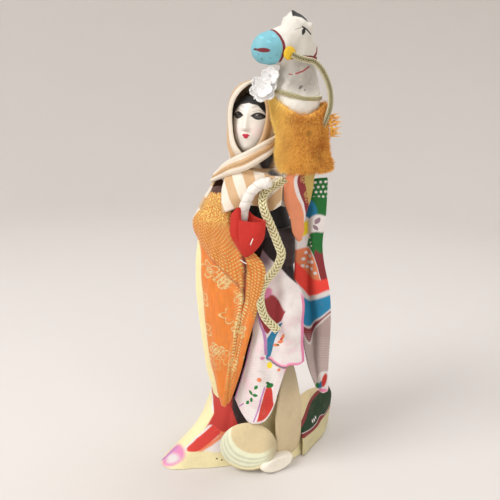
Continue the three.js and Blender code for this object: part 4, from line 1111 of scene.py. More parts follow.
class Braid(bpy.types.Operator):
    """The gold braid that hangs from the bound hand"""

    bl_idname = "doll.braid"
    bl_label = "Hand braid"

    def execute(self, context):
        wide = size("braid_width")
        shape = Shape()
        steps = 150
        swell = 1 + 0.05 * np.sin(np.linspace(0, 46 * TURN, steps))
        path = shape.sweep(BRAID, wide * swell, size("braid_thickness"), steps, 20, 0.6, None, BRAID_ACROSS)
        obj = shape.piece(
            "gold_braid", "doll", [gold_plait("gold braid", wide)], ["hand_braid"]
        )
        return {"FINISHED"}


class Frame(bpy.types.Operator):
    """Finishes of the wood, wire and paper that the CAD model already shapes"""

    bl_idname = "doll.frame"
    bl_label = "Inner frame"

    def execute(self, context):
        wood = Finish("turned wood", tint("wood"), 0.6)
        grain = wood.noise(wood.vector("MULTIPLY", wood.place, (900, 160, 60)), 1.0, 5.0)
        wood.ground = wood.mix(grain, tint("wood", 0.55), tint("wood", 1.25))
        wood = wood.done(grain, 0.12)
        wire = Finish("annealed wire", tint("wire"), 0.4, Metallic=0.9)
        mark = wire.noise(wire.place, 1800.0, 4.0)
        wire.ground = wire.mix(mark, tint("wire", 0.6), tint("wire"))
        wire = wire.done(mark, 0.05)
        paper = Finish("wound paper", tint("paper"), 0.9)
        x, y, z = paper.split(paper.place)
        lean = paper.times(paper.math("ARCTAN2", y, x), 0.159)
        turn = paper.math("FRACT", paper.math("MULTIPLY_ADD", z, 160.0, lean))
        lap = paper.step(turn, 0.0, 0.1)
        paper.ground = paper.mix(paper.noise(paper.place, 700.0), tint("paper", 0.75), tint("paper"))
        paper = paper.done(lap, 0.2)
        finishes = {
            "base_disc": wood, "core_post": wood, "horse_stick": wood, "neck_peg": wood,
            "left_arm_wire": wire, "right_arm_wire": wire, "lower_body": paper, "torso_core": paper,
        }
        for name, material in finishes.items():
            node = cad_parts[name]
            node.data.materials.clear()
            node.data.materials.append(material)
        return {"FINISHED"}


class Kimono(bpy.types.Operator):
    """The black kimono body, its sash and the sash's knot"""

    bl_idname = "doll.kimono"
    bl_label = "Kimono and sash"

    def execute(self, context):
        self.body()
        self.knot(self.sash())
        return {"FINISHED"}

    def body(self):
        """The black cloth wrapped round the body, with its folds and overlap."""
        around = angles(144)
        heights = np.concatenate([np.linspace(3.5, 78, 90), np.linspace(79, 106, 44)])
        rings = body_rings(heights, around, 1.15)
        lower = np.clip((80 - heights) / 60, 0, 1)[:, None]
        behind = np.clip(-np.cos(around), 0, 1) * np.clip((heights[:, None] - 27) / 8, 0, 1)
        fold = (0.28 + 0.55 * behind) * np.sin(around * 9 + 0.8 * np.sin(around * 2)) * lower
        past = around - 0.35
        overlap = 0.55 / (1 + np.exp(-past / 0.02)) * (around < 2.2) * np.exp(-np.clip(past, 0, 9) * 1.6)
        out = unit(rings * (1, 1, 0))
        rings = rings + out * (fold + overlap + waves(rings, 3, 22, 0.22))[..., None]
        left = np.clip(np.sin(around), 0, 1) ** 2
        rings[..., 0] += 3.1 * left * bell(heights[:, None] - 73, 11)
        shape = Shape()
        shape.loft(rings)
        black = plain_cloth("black cloth", "black", 0.8, 0.06, Sheen_Weight=0.12)
        shape.piece("kimono_body_cloth", "doll", [black], ["kimono_body"])

    def sash(self):
        """The tucked sash; gives its cloth."""
        around, heights = angles(144), np.linspace(*SASH, 60)
        rings = body_rings(heights, around, 2.75)
        low, high = (heights[:, None] - end for end in SASH)
        tucks = 0.28 * np.abs(np.sin(low / (SASH[1] - SASH[0]) * math.pi * 4)) + 0.12 * np.sin(around * 3 + 1)
        tucks = tucks + waves(rings, 5, 14, 0.15) - 0.5 * (bell(low, 0.8) + bell(high, 0.8))
        rings = rings + unit(rings * (1, 1, 0)) * tucks[..., None]
        rings[..., 0] += 0.9 * np.clip(np.sin(around), 0, 1) ** 2
        sash = Shape()
        sash.loft(rings)
        maroon = plain_cloth("dark sash", "maroon_black", 0.7, 0.2, 0.42, 0.12, Sheen_Weight=0.1)
        sash.piece("sash_wrap", "doll", [maroon], ["obi_sash"])
        return maroon

    def knot(self, maroon):
        """The padded knot behind."""
        low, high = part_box("obi_knot")
        middle, half = np.array((low + high) / 2) / MM, np.array((high - low) / 2) / MM
        up, side = np.meshgrid(np.linspace(-1, 1, 33), np.linspace(-1, 1, 41), indexing="ij")
        knot = Shape()
        for sign in (1, -1):
            pillow = (np.clip(1 - np.abs(side) ** 3.2, 0, 1) * np.clip(1 - np.abs(up) ** 3.2, 0, 1)) ** 0.5
            pull = 1 - 0.32 * bell(side, 0.3) * (sign > 0)
            y = middle[1] + sign * half[1] * pillow * pull
            x = middle[0] + half[0] * side * (1 - 0.1 * bell(up, 0.5))
            z = middle[2] + half[2] * up * (1 - 0.14 * bell(side, 0.35))
            knot.grid(np.stack([x, y, z], -1))
        band = [middle + half * (0, 0.55, k) for k in (-0.82, -0.3, 0.3, 0.82)]
        knot.sweep(band, 4.2, 1.6, 24, 24, 0.7)
        obj = knot.piece("sash_knot", "doll", [maroon], ["obi_knot"])


class Hem(bpy.types.Operator):
    """The padded hem with its petals, corner and back train"""

    bl_idname = "doll.hem"
    bl_label = "Skirt hem"

    def execute(self, context):
        self.hem()
        self.petals()
        self.train()
        return {"FINISHED"}

    def hem(self):
        """The padded ring of cloth on the floor."""
        degrees = np.linspace(-180, 180, 241)[:-1]
        around = degrees * DEGREE
        reach = table(HEM_REACH, degrees)
        wide, deep = (BODY[0][k] + 3 for k in (1, 2))
        near = 1 / np.hypot(np.sin(around) / wide, np.cos(around) / deep)
        tall = np.concatenate([np.linspace(0.15, 2, 6), np.linspace(2.6, HEM_TOP, 46)])
        share = (1 - tall / HEM_TOP)[:, None] ** 1.6
        radius = near + (reach - near) * share
        crease = 0.5 * bell(degrees + 3, 5) * bell(tall[:, None] - 19, 7)
        crease = crease + 0.35 * bell(degrees + 30, 6) * share
        outer = oval(radius, radius, around, tall[:, None])
        way = oval(1, 1, around, 0)
        outer = outer + way * (waves(outer, 8, 16, 0.4) * (1 - 0.7 * share) - crease)[..., None]
        roll = np.array([HEM_TOP + 0.1, HEM_TOP - 0.5, 24, 12, 3.6])[:, None, None]
        inside = body_rings(np.full(5, 3.3), around, 1.95) * (1, 1, 0) + roll * (0, 0, 1)
        inside = inside + way * np.linspace(0.9, 0, 5)[:, None, None]
        under = oval(15.4, 15.4, around, np.array([[3.1], [0.1]]))
        rings = np.concatenate([outer, inside, under])
        rings = np.concatenate([rings, rings[:, :1]], 1)
        rings = np.concatenate([rings, rings[:1]])
        shape = Shape()
        turn = np.broadcast_to(np.append(degrees, 180.0), rings.shape[:2])
        sides = np.stack([turn / 360 + 0.5, rings[..., 2] / HEM_TOP], -1)
        threads = np.stack([turn * 0.4, rings[..., 2]], -1)
        shape.grid(rings, sides, threads)
        obj = shape.piece("printed_hem", "doll", [self.figures()], ["skirt_hem"])

    def petals(self):
        """The padded petals and the corner in front of the hem."""
        puff = Finish("front petal", tint("puff"), 0.6, Sheen_Weight=0.2)
        puff.spot((0.5, 0.94), (0.5, 0.16), tint("hem_yellow", 0.95), 0.0, 0.6)
        # Painted light and shade: alternating darker and lighter crescents stand for the shading of the rolls
        # below the petal
        for k, tone in enumerate((0.84, 1.06, 0.82, 1.08, 0.84, 1.1)):
            centre, half = (0.5 + 0.016 * k, 0.42 - 0.03 * k), (0.49 - 0.008 * k, 0.5 - 0.014 * k)
            puff.spot(centre, half, shade(tint("puff"), tone), 0.2, 0.05)
        puff.spot((0.6, 0.2), (0.42, 0.4), tint("puff_panel"), 0.3, 0.06)
        # Painted shade down the front petal's right side
        puff.spot((1.02, 0.36), (0.16, 0.44), tint("puff_panel", 0.62), 0.1, 0.8)
        beige = Finish("beige petal", tint("side_petal"), 0.65)
        # Painted shadow at the side petal's top, under the panel's tail
        beige.spot((0.5, 0.0), (0.6, 0.26), tint("side_petal", 0.6), 0.0, 0.7)
        finishes = (
            puff.woven(0.2, 0.3), plain_cloth("white toe", "corner", 0.7, 0.3), beige.woven(0.2, 0.28)
        )
        for (name, replaced, fill, place, form), material in zip(PETALS, finishes):
            angle, reach, height, tilt, lean = place
            half, tall = form[:2]
            turned = Matrix.Rotation(lean * DEGREE, 3, "X") @ Matrix.Rotation(tilt * DEGREE, 3, "Y")
            spun = np.array(Matrix.Rotation(angle * DEGREE, 3, "Z"))
            petal = Shape()
            for grid in self.petal(*form):
                placed = (grid @ np.array(turned).T + (0, -reach, height)) @ spun.T
                placed[..., 2] = np.maximum(placed[..., 2], 0.05)
                flat = np.stack([grid[..., 0] / half / 2 + 0.5, 0.5 - grid[..., 2] / tall / 2], -1)
                petal.grid(placed, flat, np.stack([grid[..., 0], -grid[..., 2]], -1))
            petal.piece(name, "doll", [material], [replaced])

    def train(self):
        """The printed cloth that trails behind."""
        middle = ruffled(patch(TRAIN, 40, 40), 12, 16, 0.35)
        printed = [self.train_print()]
        obj = cloth_piece(
            "printed_train", "doll", middle, size("cloth"), printed, "back_train"
        )

    def petal(self, half, tall, thick, rim, corner, taper, rolls, flat, steep):
        """Two faces of a padded petal with a raised rim and rolls below, lying on X and Z."""
        out = np.concatenate([np.linspace(0, 0.8, 16), np.linspace(0.83, 1, 10)])
        turn = np.linspace(0, TURN, 73)
        sine, cosine = (np.sign(w) * np.abs(w) ** corner for w in (np.sin(turn), np.cos(turn)))
        z = np.outer(out, cosine) * tall
        x = np.outer(out, sine) * half * (1 - taper * np.clip(z / tall, 0, 1))
        dome = np.clip(1 - out**flat, 0, 1) ** steep
        dish = 1 - (1 - rim) * bell(out - 0.25, 0.42) * 1.1
        high = (thick * dome * dish)[:, None]
        ridges = bell(out - 0.9, 0.05) + 0.8 * bell(out - 0.76, 0.045)
        ridges = rolls * ridges[:, None] * np.clip(-cosine, 0, 1)
        soft = 0.12 * waves(np.stack([x, x * 0, z], -1), 17, 9, 1.0) * (1 - out[:, None] ** 4)
        return [np.stack([x, face + soft, z], -1) for face in (high, -high - ridges)]

    def figures(self):
        """The hem's printed zones, by angle and height, with painted shade on the upper red and in a dark
        zone high on the front.
        """
        f = Finish("printed hem", tint("hem_cream"), 0.7, Sheen_Weight=0.15)
        yellow, red, white = tint("hem_yellow"), tint("print_red"), tint("print_white")
        # deep is the red darkened as painted shade from the sleeve above; it fills the upper red bands
        orange, pink, deep = tint("print_salmon"), tint("print_pink"), shade(red, 0.88)

        def zone(points, above, soft, within):
            f.below([(a / 360 + 0.5, z / HEM_TOP) for a, z in points], above, soft, within)

        def edge(low, high):
            return f.step(f.u, 0.5 + low / 360, 0.5 + high / 360)

        left = f.times(edge(-19, -21), edge(-88, -70))
        pale = f.times(left, edge(-25, -27))
        f.paint(f.times(edge(-23, -27), f.step(f.u, 0.3, 0.36)), yellow)
        mine = f.times(edge(-25, -23), edge(16, 12))
        zone([(-180, 7), (-23, 6.2), (-15, 5.6), (-7, 5.4), (0, 6.5), (8, 10), (180, 10)], white, 0.02, mine)
        zone([(-180, 9), (-22.5, 8.2), (-15, 11.6), (-8, 11), (9, 11.4), (180, 12)], orange, 0.03, mine)
        zone([(-180, 12), (-21, 9.6), (-15, 13.2), (-8, 12.6), (9, 13), (180, 14)], deep, 0.012, mine)
        zone([(-180, 24), (-46, 22.2), (-33, 20), (-24, 17), (-19, 13), (180, 13)], white, 0.012, pale)
        zone([(-180, 25), (-46, 23.2), (-33, 21.2), (-24, 18.2), (-19, 14.4), (180, 14)], deep, 0.01, left)
        f.stroke([(-3.6, 10.6), (-6.0, 8.2), (-7.8, 6.2)], 1.5, orange, 0.5, f.thread)
        f.stroke([(-8.6, 13.6), (-10.2, 9.4), (-10.9, 6.4)], 1.6, white, 0.4, f.thread)
        f.stroke([(-7.4, 13.2), (-9.2, 9.2), (-9.8, 6.6)], 2.4, shade(red, 1.15), 0.25, f.thread)
        f.stroke([(-5.2, 12.2), (-7.6, 9.0), (-9.0, 6.6)], 2.4, shade(red, 1.15), 0.25, f.thread)
        f.spot((-12.8, 3.2), (2.8, 3.0), f.mix(0.35, pink, tint("print_mauve")), 0.3, 0.2, on=f.thread)
        f.spot((-12.2, 2.6), (1.6, 1.3), shade(white, 0.92), 0.3, 0.5, on=f.thread)
        f.stroke([(-14.6, 0.6), (-14, 4.8)], 0.9, tint("print_mauve"), 0.2, f.thread)
        for x, z in ((-2.4, 3.2), (0.4, 3.3), (-0.6, 2.6)):
            f.spot((x, z), (0.25, 0.3), tint("underside", 0.4), 0.4, 0.5, on=f.thread)
        # Painted shade: a dark zone high on the front, between the red and the panel
        dark = f.times(edge(-5, 1), edge(40, 20))
        zone(
            [(-180, 21), (-5, 22), (4, 19.6), (12, 16), (20, 14), (180, 14)], tint("maroon_black"), 0.02,
            dark
        )
        return f.woven(0.3)

    def train_print(self):
        """The back train's printed bands."""
        f = Finish("printed train", tint("hem_cream", 0.72), 0.75)
        maroon, green = tint("print_maroon", 0.85), tint("print_green", 0.2)
        f.below([(0, 0.31), (0.4, 0.24), (0.62, 0.25), (0.9, 0.2), (1, 0.18)], maroon)
        f.below([(0, 0.39), (0.4, 0.31), (0.6, 0.345), (0.74, 0.27), (1, 0.25)], tint("print_white"))
        f.below([(0, 0.4), (0.4, 0.32), (0.6, 0.355), (0.74, 0.28), (1, 0.26)], green)
        f.below([(0, 0.5), (0.2, 0.58), (0.5, 0.8), (0.7, 0.9), (1, 0.98)], maroon)
        f.below([(0, 0.6), (0.2, 0.7), (0.5, 0.93), (0.7, 0.99), (1, 1)], tint("puff_panel", 0.95))
        for u, v in ((0.3, 0.41), (0.36, 0.4), (0.42, 0.41)):
            f.spot((u, v), (0.018, 0.03), tint("print_white"), 0.4, 0.5)
        return f.woven(0.3)


class Panel(bpy.types.Operator):
    """The kimono's printed front panel with its two folded tails"""

    bl_idname = "doll.front_panel"
    bl_label = "Front panel"

    def execute(self, context):
        middle = patch(PANEL, 90, 130)
        u, v = np.meshgrid(np.linspace(0, 1, 90), np.linspace(0, 1, 130))
        low = np.clip(v * 4 - 3, 0, 1) ** 2
        middle[..., 2] -= 1.6 * np.sin(np.clip(u * 4 - 3, 0, 1) * math.pi) * low
        middle[..., 2] += (3.0 * np.clip(1 - u / 0.11, 0, 1) ** 2 - 0.8 * bell(u - 0.17, 0.07)) * low
        middle = ruffled(middle, 21, 13, 0.3)
        coats = [self.figures(middle), plain_cloth("print reverse", "reverse", 0.85, 0.2, 0.5, 0.12)]
        thick = size("thin_cloth") * 0.8
        obj = cloth_piece(
            "printed_panel", "doll", middle, thick, coats, "kimono_front_panel", (0, 1, 0)
        )
        return {"FINISHED"}

    def figures(self, middle):
        """The panel's printed figures, with painted shade on its upper corner, under its folded lip and
        across its top.
        """
        f = Finish("printed panel", tint("print_white"), 0.8)
        f.cut_from(middle)
        red, blue, mauve, pink = (tint("print_" + k) for k in ("red", "blue", "mauve", "pink"))
        maroon, green, salmon = (tint("print_" + k) for k in ("maroon", "green", "salmon"))
        white = tint("print_white")
        blush = f.noise(f.thread, 0.16, 2.0)
        f.paint(f.times(f.step(blush, 0.4, 0.8), 0.28), pink)
        # Painted shade: grey mauve over the panel's upper corner
        corner = f.times(f.step(f.v, 0.24, 0.15), f.step(f.u, 0.5, 0.28))
        f.paint(corner, tint("print_grey_and_shade"))
        inside = f.window(f.u, (0.16, 0.2), (0.74, 0.72))
        top = [(0, 0.4), (0.2, 0.39), (0.4, 0.38), (0.55, 0.42), (0.72, 0.49), (1, 0.5)]
        low = [(0, 0.4), (0.2, 0.52), (0.395, 0.622), (0.51, 0.598), (0.66, 0.552), (0.73, 0.49), (1, 0.48)]
        f.below(top, shade(maroon, 1.35), 0.012, f.times(inside, f.over(low)))
        f.spot((0.3, 0.375), (1.6, 2.1), shade(pink, 0.8), -0.5, 0.2)
        band = f.window(f.u, (0.345, 0.36), (0.69, 0.67))
        low = [
            (0, 0.72), (0.36, 0.76), (0.41, 0.785), (0.46, 0.76), (0.525, 0.7), (0.6, 0.635), (0.68, 0.575),
            (1, 0.56)
        ]
        f.below(
            [(0, 0.6), (0.37, 0.638), (0.51, 0.598), (0.67, 0.555), (1, 0.54)], blue, 0.006,
            f.times(band, f.over(low))
        )
        f.stroke([(0.36, 0.638), (0.51, 0.598), (0.67, 0.555)], 0.5, white)
        f.stroke(
            [(0.15, 0.5), (0.23, 0.55), (0.305, 0.59), (0.35, 0.65), (0.375, 0.74)], 0.7, shade(mauve, 0.9)
        )
        f.stroke([(0.0, 0.5), (0.0, 0.74), (0.0, 1.0)], 1.0, shade(mauve, 1.05), 0.3)
        for u, v, turn in ((0.685, 0.685, 1.2), (0.65, 0.723, 0.5), (0.575, 0.748, 0.3)):
            f.spot((u, v), (1.5, 0.55), salmon, turn, 0.2, "painted almond")
        f.spot((0.665, 0.7), (0.6, 0.35), red, 0.8, 0.3)
        f.spot((0.61, 0.742), (0.5, 0.3), green, 0.4, 0.3)
        f.spot((0.45, 0.82), (0.8, 1.2), tint("print_yellow"), 0.2, 0.2)
        f.spot((0.625, 0.9), (0.8, 0.5), salmon, 0.8, 0.3)
        hemmed = [(0, 1), (0.47, 0.9), (0.5, 0.845), (0.6, 0.9), (0.715, 0.962), (0.9, 0.975), (1, 0.975)]
        f.below(hemmed, shade(pink, 1.06), 0.012, f.step(f.u, 0.68, 0.74))
        lip = [(14.4, 47.8), (15.8, 46.5), (17, 46.1), (18.3, 45.9), (19.6, 45.8), (20.8, 45.9)]
        # Painted shadow: a dark line just under the folded lip, then the lip's pink edge
        f.stroke([(x, z - 0.6) for x, z in lip], 0.9, tint("print_grey_and_shade", 0.8), 0.4, f.front)
        f.stroke(lip, 0.55, shade(pink, 1.1), 0.2, f.front)
        f.paint(f.times(f.step(f.u, 0.962, 0.972), f.step(f.v, 0.36, 0.42)), shade(pink, 0.86))
        bean = f.window(f.u, (0.24, 0.26), (0.56, 0.54))
        edge = (
            (0, 1), (0.27, 1), (0.29, 0.99), (0.325, 0.935), (0.38, 0.893), (0.43, 0.888), (0.52, 0.935),
            (0.54, 0.985), (1, 1)
        )
        f.below([(u, max(0, v - 0.014)) for u, v in edge], white, 0.006, bean)
        f.below(edge, red, 0.006, f.times(bean, f.step(f.v, 0.998, 0.99)))
        f.spot((0.475, 0.897), (1.25, 0.85), green, 0.5, 0.2)
        f.spot((0.44, 0.885), (0.8, 0.5), shade(green, 0.7), -0.9, 0.2)
        f.stroke([(0.245, 0.993), (0.31, 0.927), (0.38, 0.885)], 0.55, shade(mauve, 0.95))
        f.stroke([(0.06, 0.995), (0.09, 0.963)], 0.5, shade(mauve, 0.95))
        leaves = (
            (0.22, 0.863, 1.05), (0.16, 0.895, -0.78), (0.225, 0.888, 0.2), (0.185, 0.915, 1.4),
            (0.13, 0.94, 1.0)
        )
        for u, v, turn in leaves:
            f.spot((u, v), (1.15, 0.6), shade(green, 1.3), turn, 0.2, "painted almond")
        f.spot((0.275, 0.83), (0.8, 0.85), salmon, 0.3, 0.15)
        f.spot((0.305, 0.735), (0.65, 0.65), shade(pink, 0.85), 0.3, 0.2)
        # Painted shade: the panel's top beyond a slanting line is dark, as under the cuff
        x, z, _ = f.split(f.front)
        f.paint(f.step(f.math("MULTIPLY_ADD", x, 0.86, z), 92.5, 93.1), tint("maroon_black", 0.7))
        return f.woven(0.25, 0.42, 0.1)


class RightSleeve(bpy.types.Operator):
    """The brocade sleeve with its slit, its pale lining and the red cuff"""

    bl_idname = "doll.right_sleeve"
    bl_label = "Brocade sleeve"

    def execute(self, context):
        self.sleeve()
        self.lining()
        self.cuff()
        return {"FINISHED"}

    def sleeve(self):
        """The padded brocade with its crease, its slit and the threads frayed along it."""
        across, down = 110, 170
        middle = patch(RIGHT_SLEEVE, across, down)
        share, _ = spans(middle)
        u, v = share[..., 0], share[..., 1]
        wide = np.linalg.norm(np.diff(middle, axis=1), axis=2).sum(1)[:, None]
        slit = np.interp(v, *np.array(SLIT).T)
        off = (u - slit) * wide
        opened = 1 / (1 + np.exp(-(v - 0.4) / 0.012))
        side, height, slope = CREASE
        fold = (v - (height + (u - side) * slope)) * SLEEVE_LENGTH
        crease = 1.1 / (1 + np.exp(fold / 0.28)) * bell(u - 0.5, 0.26) * bell(np.minimum(fold, 0), 9)
        edge = np.clip(np.minimum(u, 1 - u) * wide / 2.4, 0, 1) ** 0.5
        lift = opened * (0.45 * bell(np.abs(off) - 1.2, 0.6) - 1.5 * bell(off, 0.55)) + crease
        lift = lift + waves(middle * (1, 1, 0.32), 31, 5.5, 0.26) + waves(middle, 33, 17, 0.35)
        thick = size("sleeve") * (0.3 + 0.7 * edge)
        front = facing(middle)
        middle = middle + front * (lift * 0.5)[..., None]
        shape = Shape()
        shape.slab(middle, np.clip(thick + lift, 0.35, 9))
        brocade = self.brocade()
        obj = shape.piece("brocade_sleeve", "right_sleeve", [brocade], ["right_sleeve"])

        ends = []
        rows = np.arange(int(0.43 * down), down - 6, 1)
        for away in (-0.9, 0.9):
            beside = (slit[rows, 0] + away / wide[rows, 0]) * (across - 1)
            columns = np.clip(beside, 0, across - 1).astype(int)
            ends.append((middle + front * (thick / 2 + 0.15)[..., None])[rows, columns])
        fray = fringe("slit_fray", ends, thread_gold(), (0.1, -0.45, -0.5), (0.42, 1.3, 0.1))
        dressed(fray, "right_sleeve", [])

    def lining(self):
        """The pale cloth behind the brocade."""
        under = ruffled(patch(LINING, 30, 70), 36, 15, 0.25)
        pale = [plain_cloth("pale lining", "lining", 0.8, 0.12, Sheen_Weight=0.2)]
        obj = cloth_piece(
            "pale_sleeve_lining", "right_sleeve", under, size("thin_cloth"), pale,
            "right_sleeve_lining",
        )

    def cuff(self):
        """The red cuff, a pointed pouch with one edge lapped over the other."""
        around = angles(96)
        side, front = np.sin(around), np.cos(around) > 0
        sideways, tall, wide, deep = spline(CUFF, np.linspace(0, 1, 46)).T[..., None]
        rise = np.clip((tall - 92) / 7, 0, 1)
        left = 1 / (1 + np.exp((side + 0.31) / np.where(front, 0.02, 0.25)))
        z = tall + rise * (left * (4.2 * np.clip((side + 1) / 0.7, 0, 1) - 0.8) - (1 - left) * 1.2)
        lap = 0.5 / (1 + np.exp(-(side + 0.3) / 0.03)) - 0.55 * bell(side + 0.34, 0.05)
        lap = np.where(front, lap, 0) * np.clip((z - 86) / 4, 0, 1)
        axis = np.array([7, -20.6, 0])
        outer = np.stack([sideways + wide * side, axis[1] - deep * np.cos(around) - lap, z], -1)
        outer[..., 1] -= waves(outer, 41, 8, 0.25)
        inner = axis + (outer[::-1] - axis) * (0.82, 0.66, 1)
        inner[..., 2] = np.maximum(inner[..., 2] - 0.1, 88)
        pouch = Shape()
        pouch.loft(np.concatenate([outer, inner[:30]]))
        red = plain_cloth("red cuff", "red", 0.85, 0.2, 0.3, 0.09)
        pouch.piece("red_cuff", "right_sleeve", [red], ["right_cuff"])
        thread = Shape()
        thread.sweep(
            [(10.1, -23.95, 90.6), (10.5, -24.1, 91.6), (10.9, -23.95, 92.7)], 0.36, 0.36, 14, 10, 0.7
        )
        thread.sweep([(5.6, -21.9, 84.1), (6.7, -22.2, 83.7), (7.9, -21.9, 83.2)], 0.34, 0.34, 14, 10, 0.7)
        white = plain_cloth("white thread", "binding", 0.7, 0.1, 0.2)
        thread.piece("cuff_stitches", "right_sleeve", [white], [])

    def brocade(self):
        """Orange satin with gold twill above, gold flower outlines below and a dark slit, with painted shadow
        along the crease and at the top.
        """
        f = Finish("orange brocade", tint("brocade"), 0.5, Sheen_Weight=0.2)
        off = f.times(f.minus(f.u, f.curve(f.v, [(0, 0.9), *SLIT])), SLEEVE_WIDTH)
        far = f.math("ABSOLUTE", off)
        opened = f.step(f.v, 0.39, 0.42)
        side, height, slope = CREASE
        crease = f.minus(f.v, f.math("MULTIPLY_ADD", f.minus(f.u, side), slope, height))
        twill = f.step(crease, 0.012, -0.008)
        beside = f.times(f.step(far, 3.4, 1.6), opened)
        figures = f.times(f.step(crease, -0.004, 0.03), f.step(f.v, 0.9, 0.78))
        gold = f.use("gold figures", Vector=f.thread, Twill=f.math("MAXIMUM", twill, beside), Figures=figures)
        satin = f.noise(f.vector("MULTIPLY", f.thread, (2.6, 0.16, 1)), 1.0, 4.0)
        f.ground = f.mix(satin, tint("brocade", 0.6), tint("brocade", 1.24))
        f.paint(f.times(twill, 0.5), tint("brocade", 0.6))
        spark = f.times(f.step(f.noise(f.thread, 1.5, 3.0), 0.5, 0.58), f.step(f.v, 0.3, 0.2))
        f.paint(spark, f.mix(f.noise(f.thread, 0.8), tint("gold_pale"), tint("print_yellow")))
        f.paint(f.times(f.noise(f.thread, 0.35, 2.0), 0.12), tint("print_yellow"))
        # Painted shadow: a dark line along the crease, under the fold
        fold = f.window(crease, (-0.003, 0.004), (0.034, 0.008))
        fold = f.times(fold, f.window(f.u, (0.12, 0.25), (0.82, 0.7)))
        f.paint(gold["Mask"], f.mix(figures, tint("gold"), tint("gold_pale")))
        f.paint(f.times(fold, 0.75), tint("brocade", 0.3))
        f.paint(f.times(f.step(far, 0.95, 0.5), opened), tint("slit"))
        # Painted shade: a dark band along the top edge, under the drape
        shadow = f.plus(f.v, f.math("MULTIPLY_ADD", f.noise(f.thread, 0.9), 0.05, -0.025))
        f.paint(f.step(shadow, 0.04, 0.025), tint("underside", 0.45))
        f.wear(0.25)
        f.put(f.shader.inputs["Roughness"], f.math("MULTIPLY_ADD", gold["Mask"], -0.12, 0.55))
        f.put(f.shader.inputs["Metallic"], f.times(gold["Mask"], 0.3))
        return f.done(gold["Height"], 0.16)


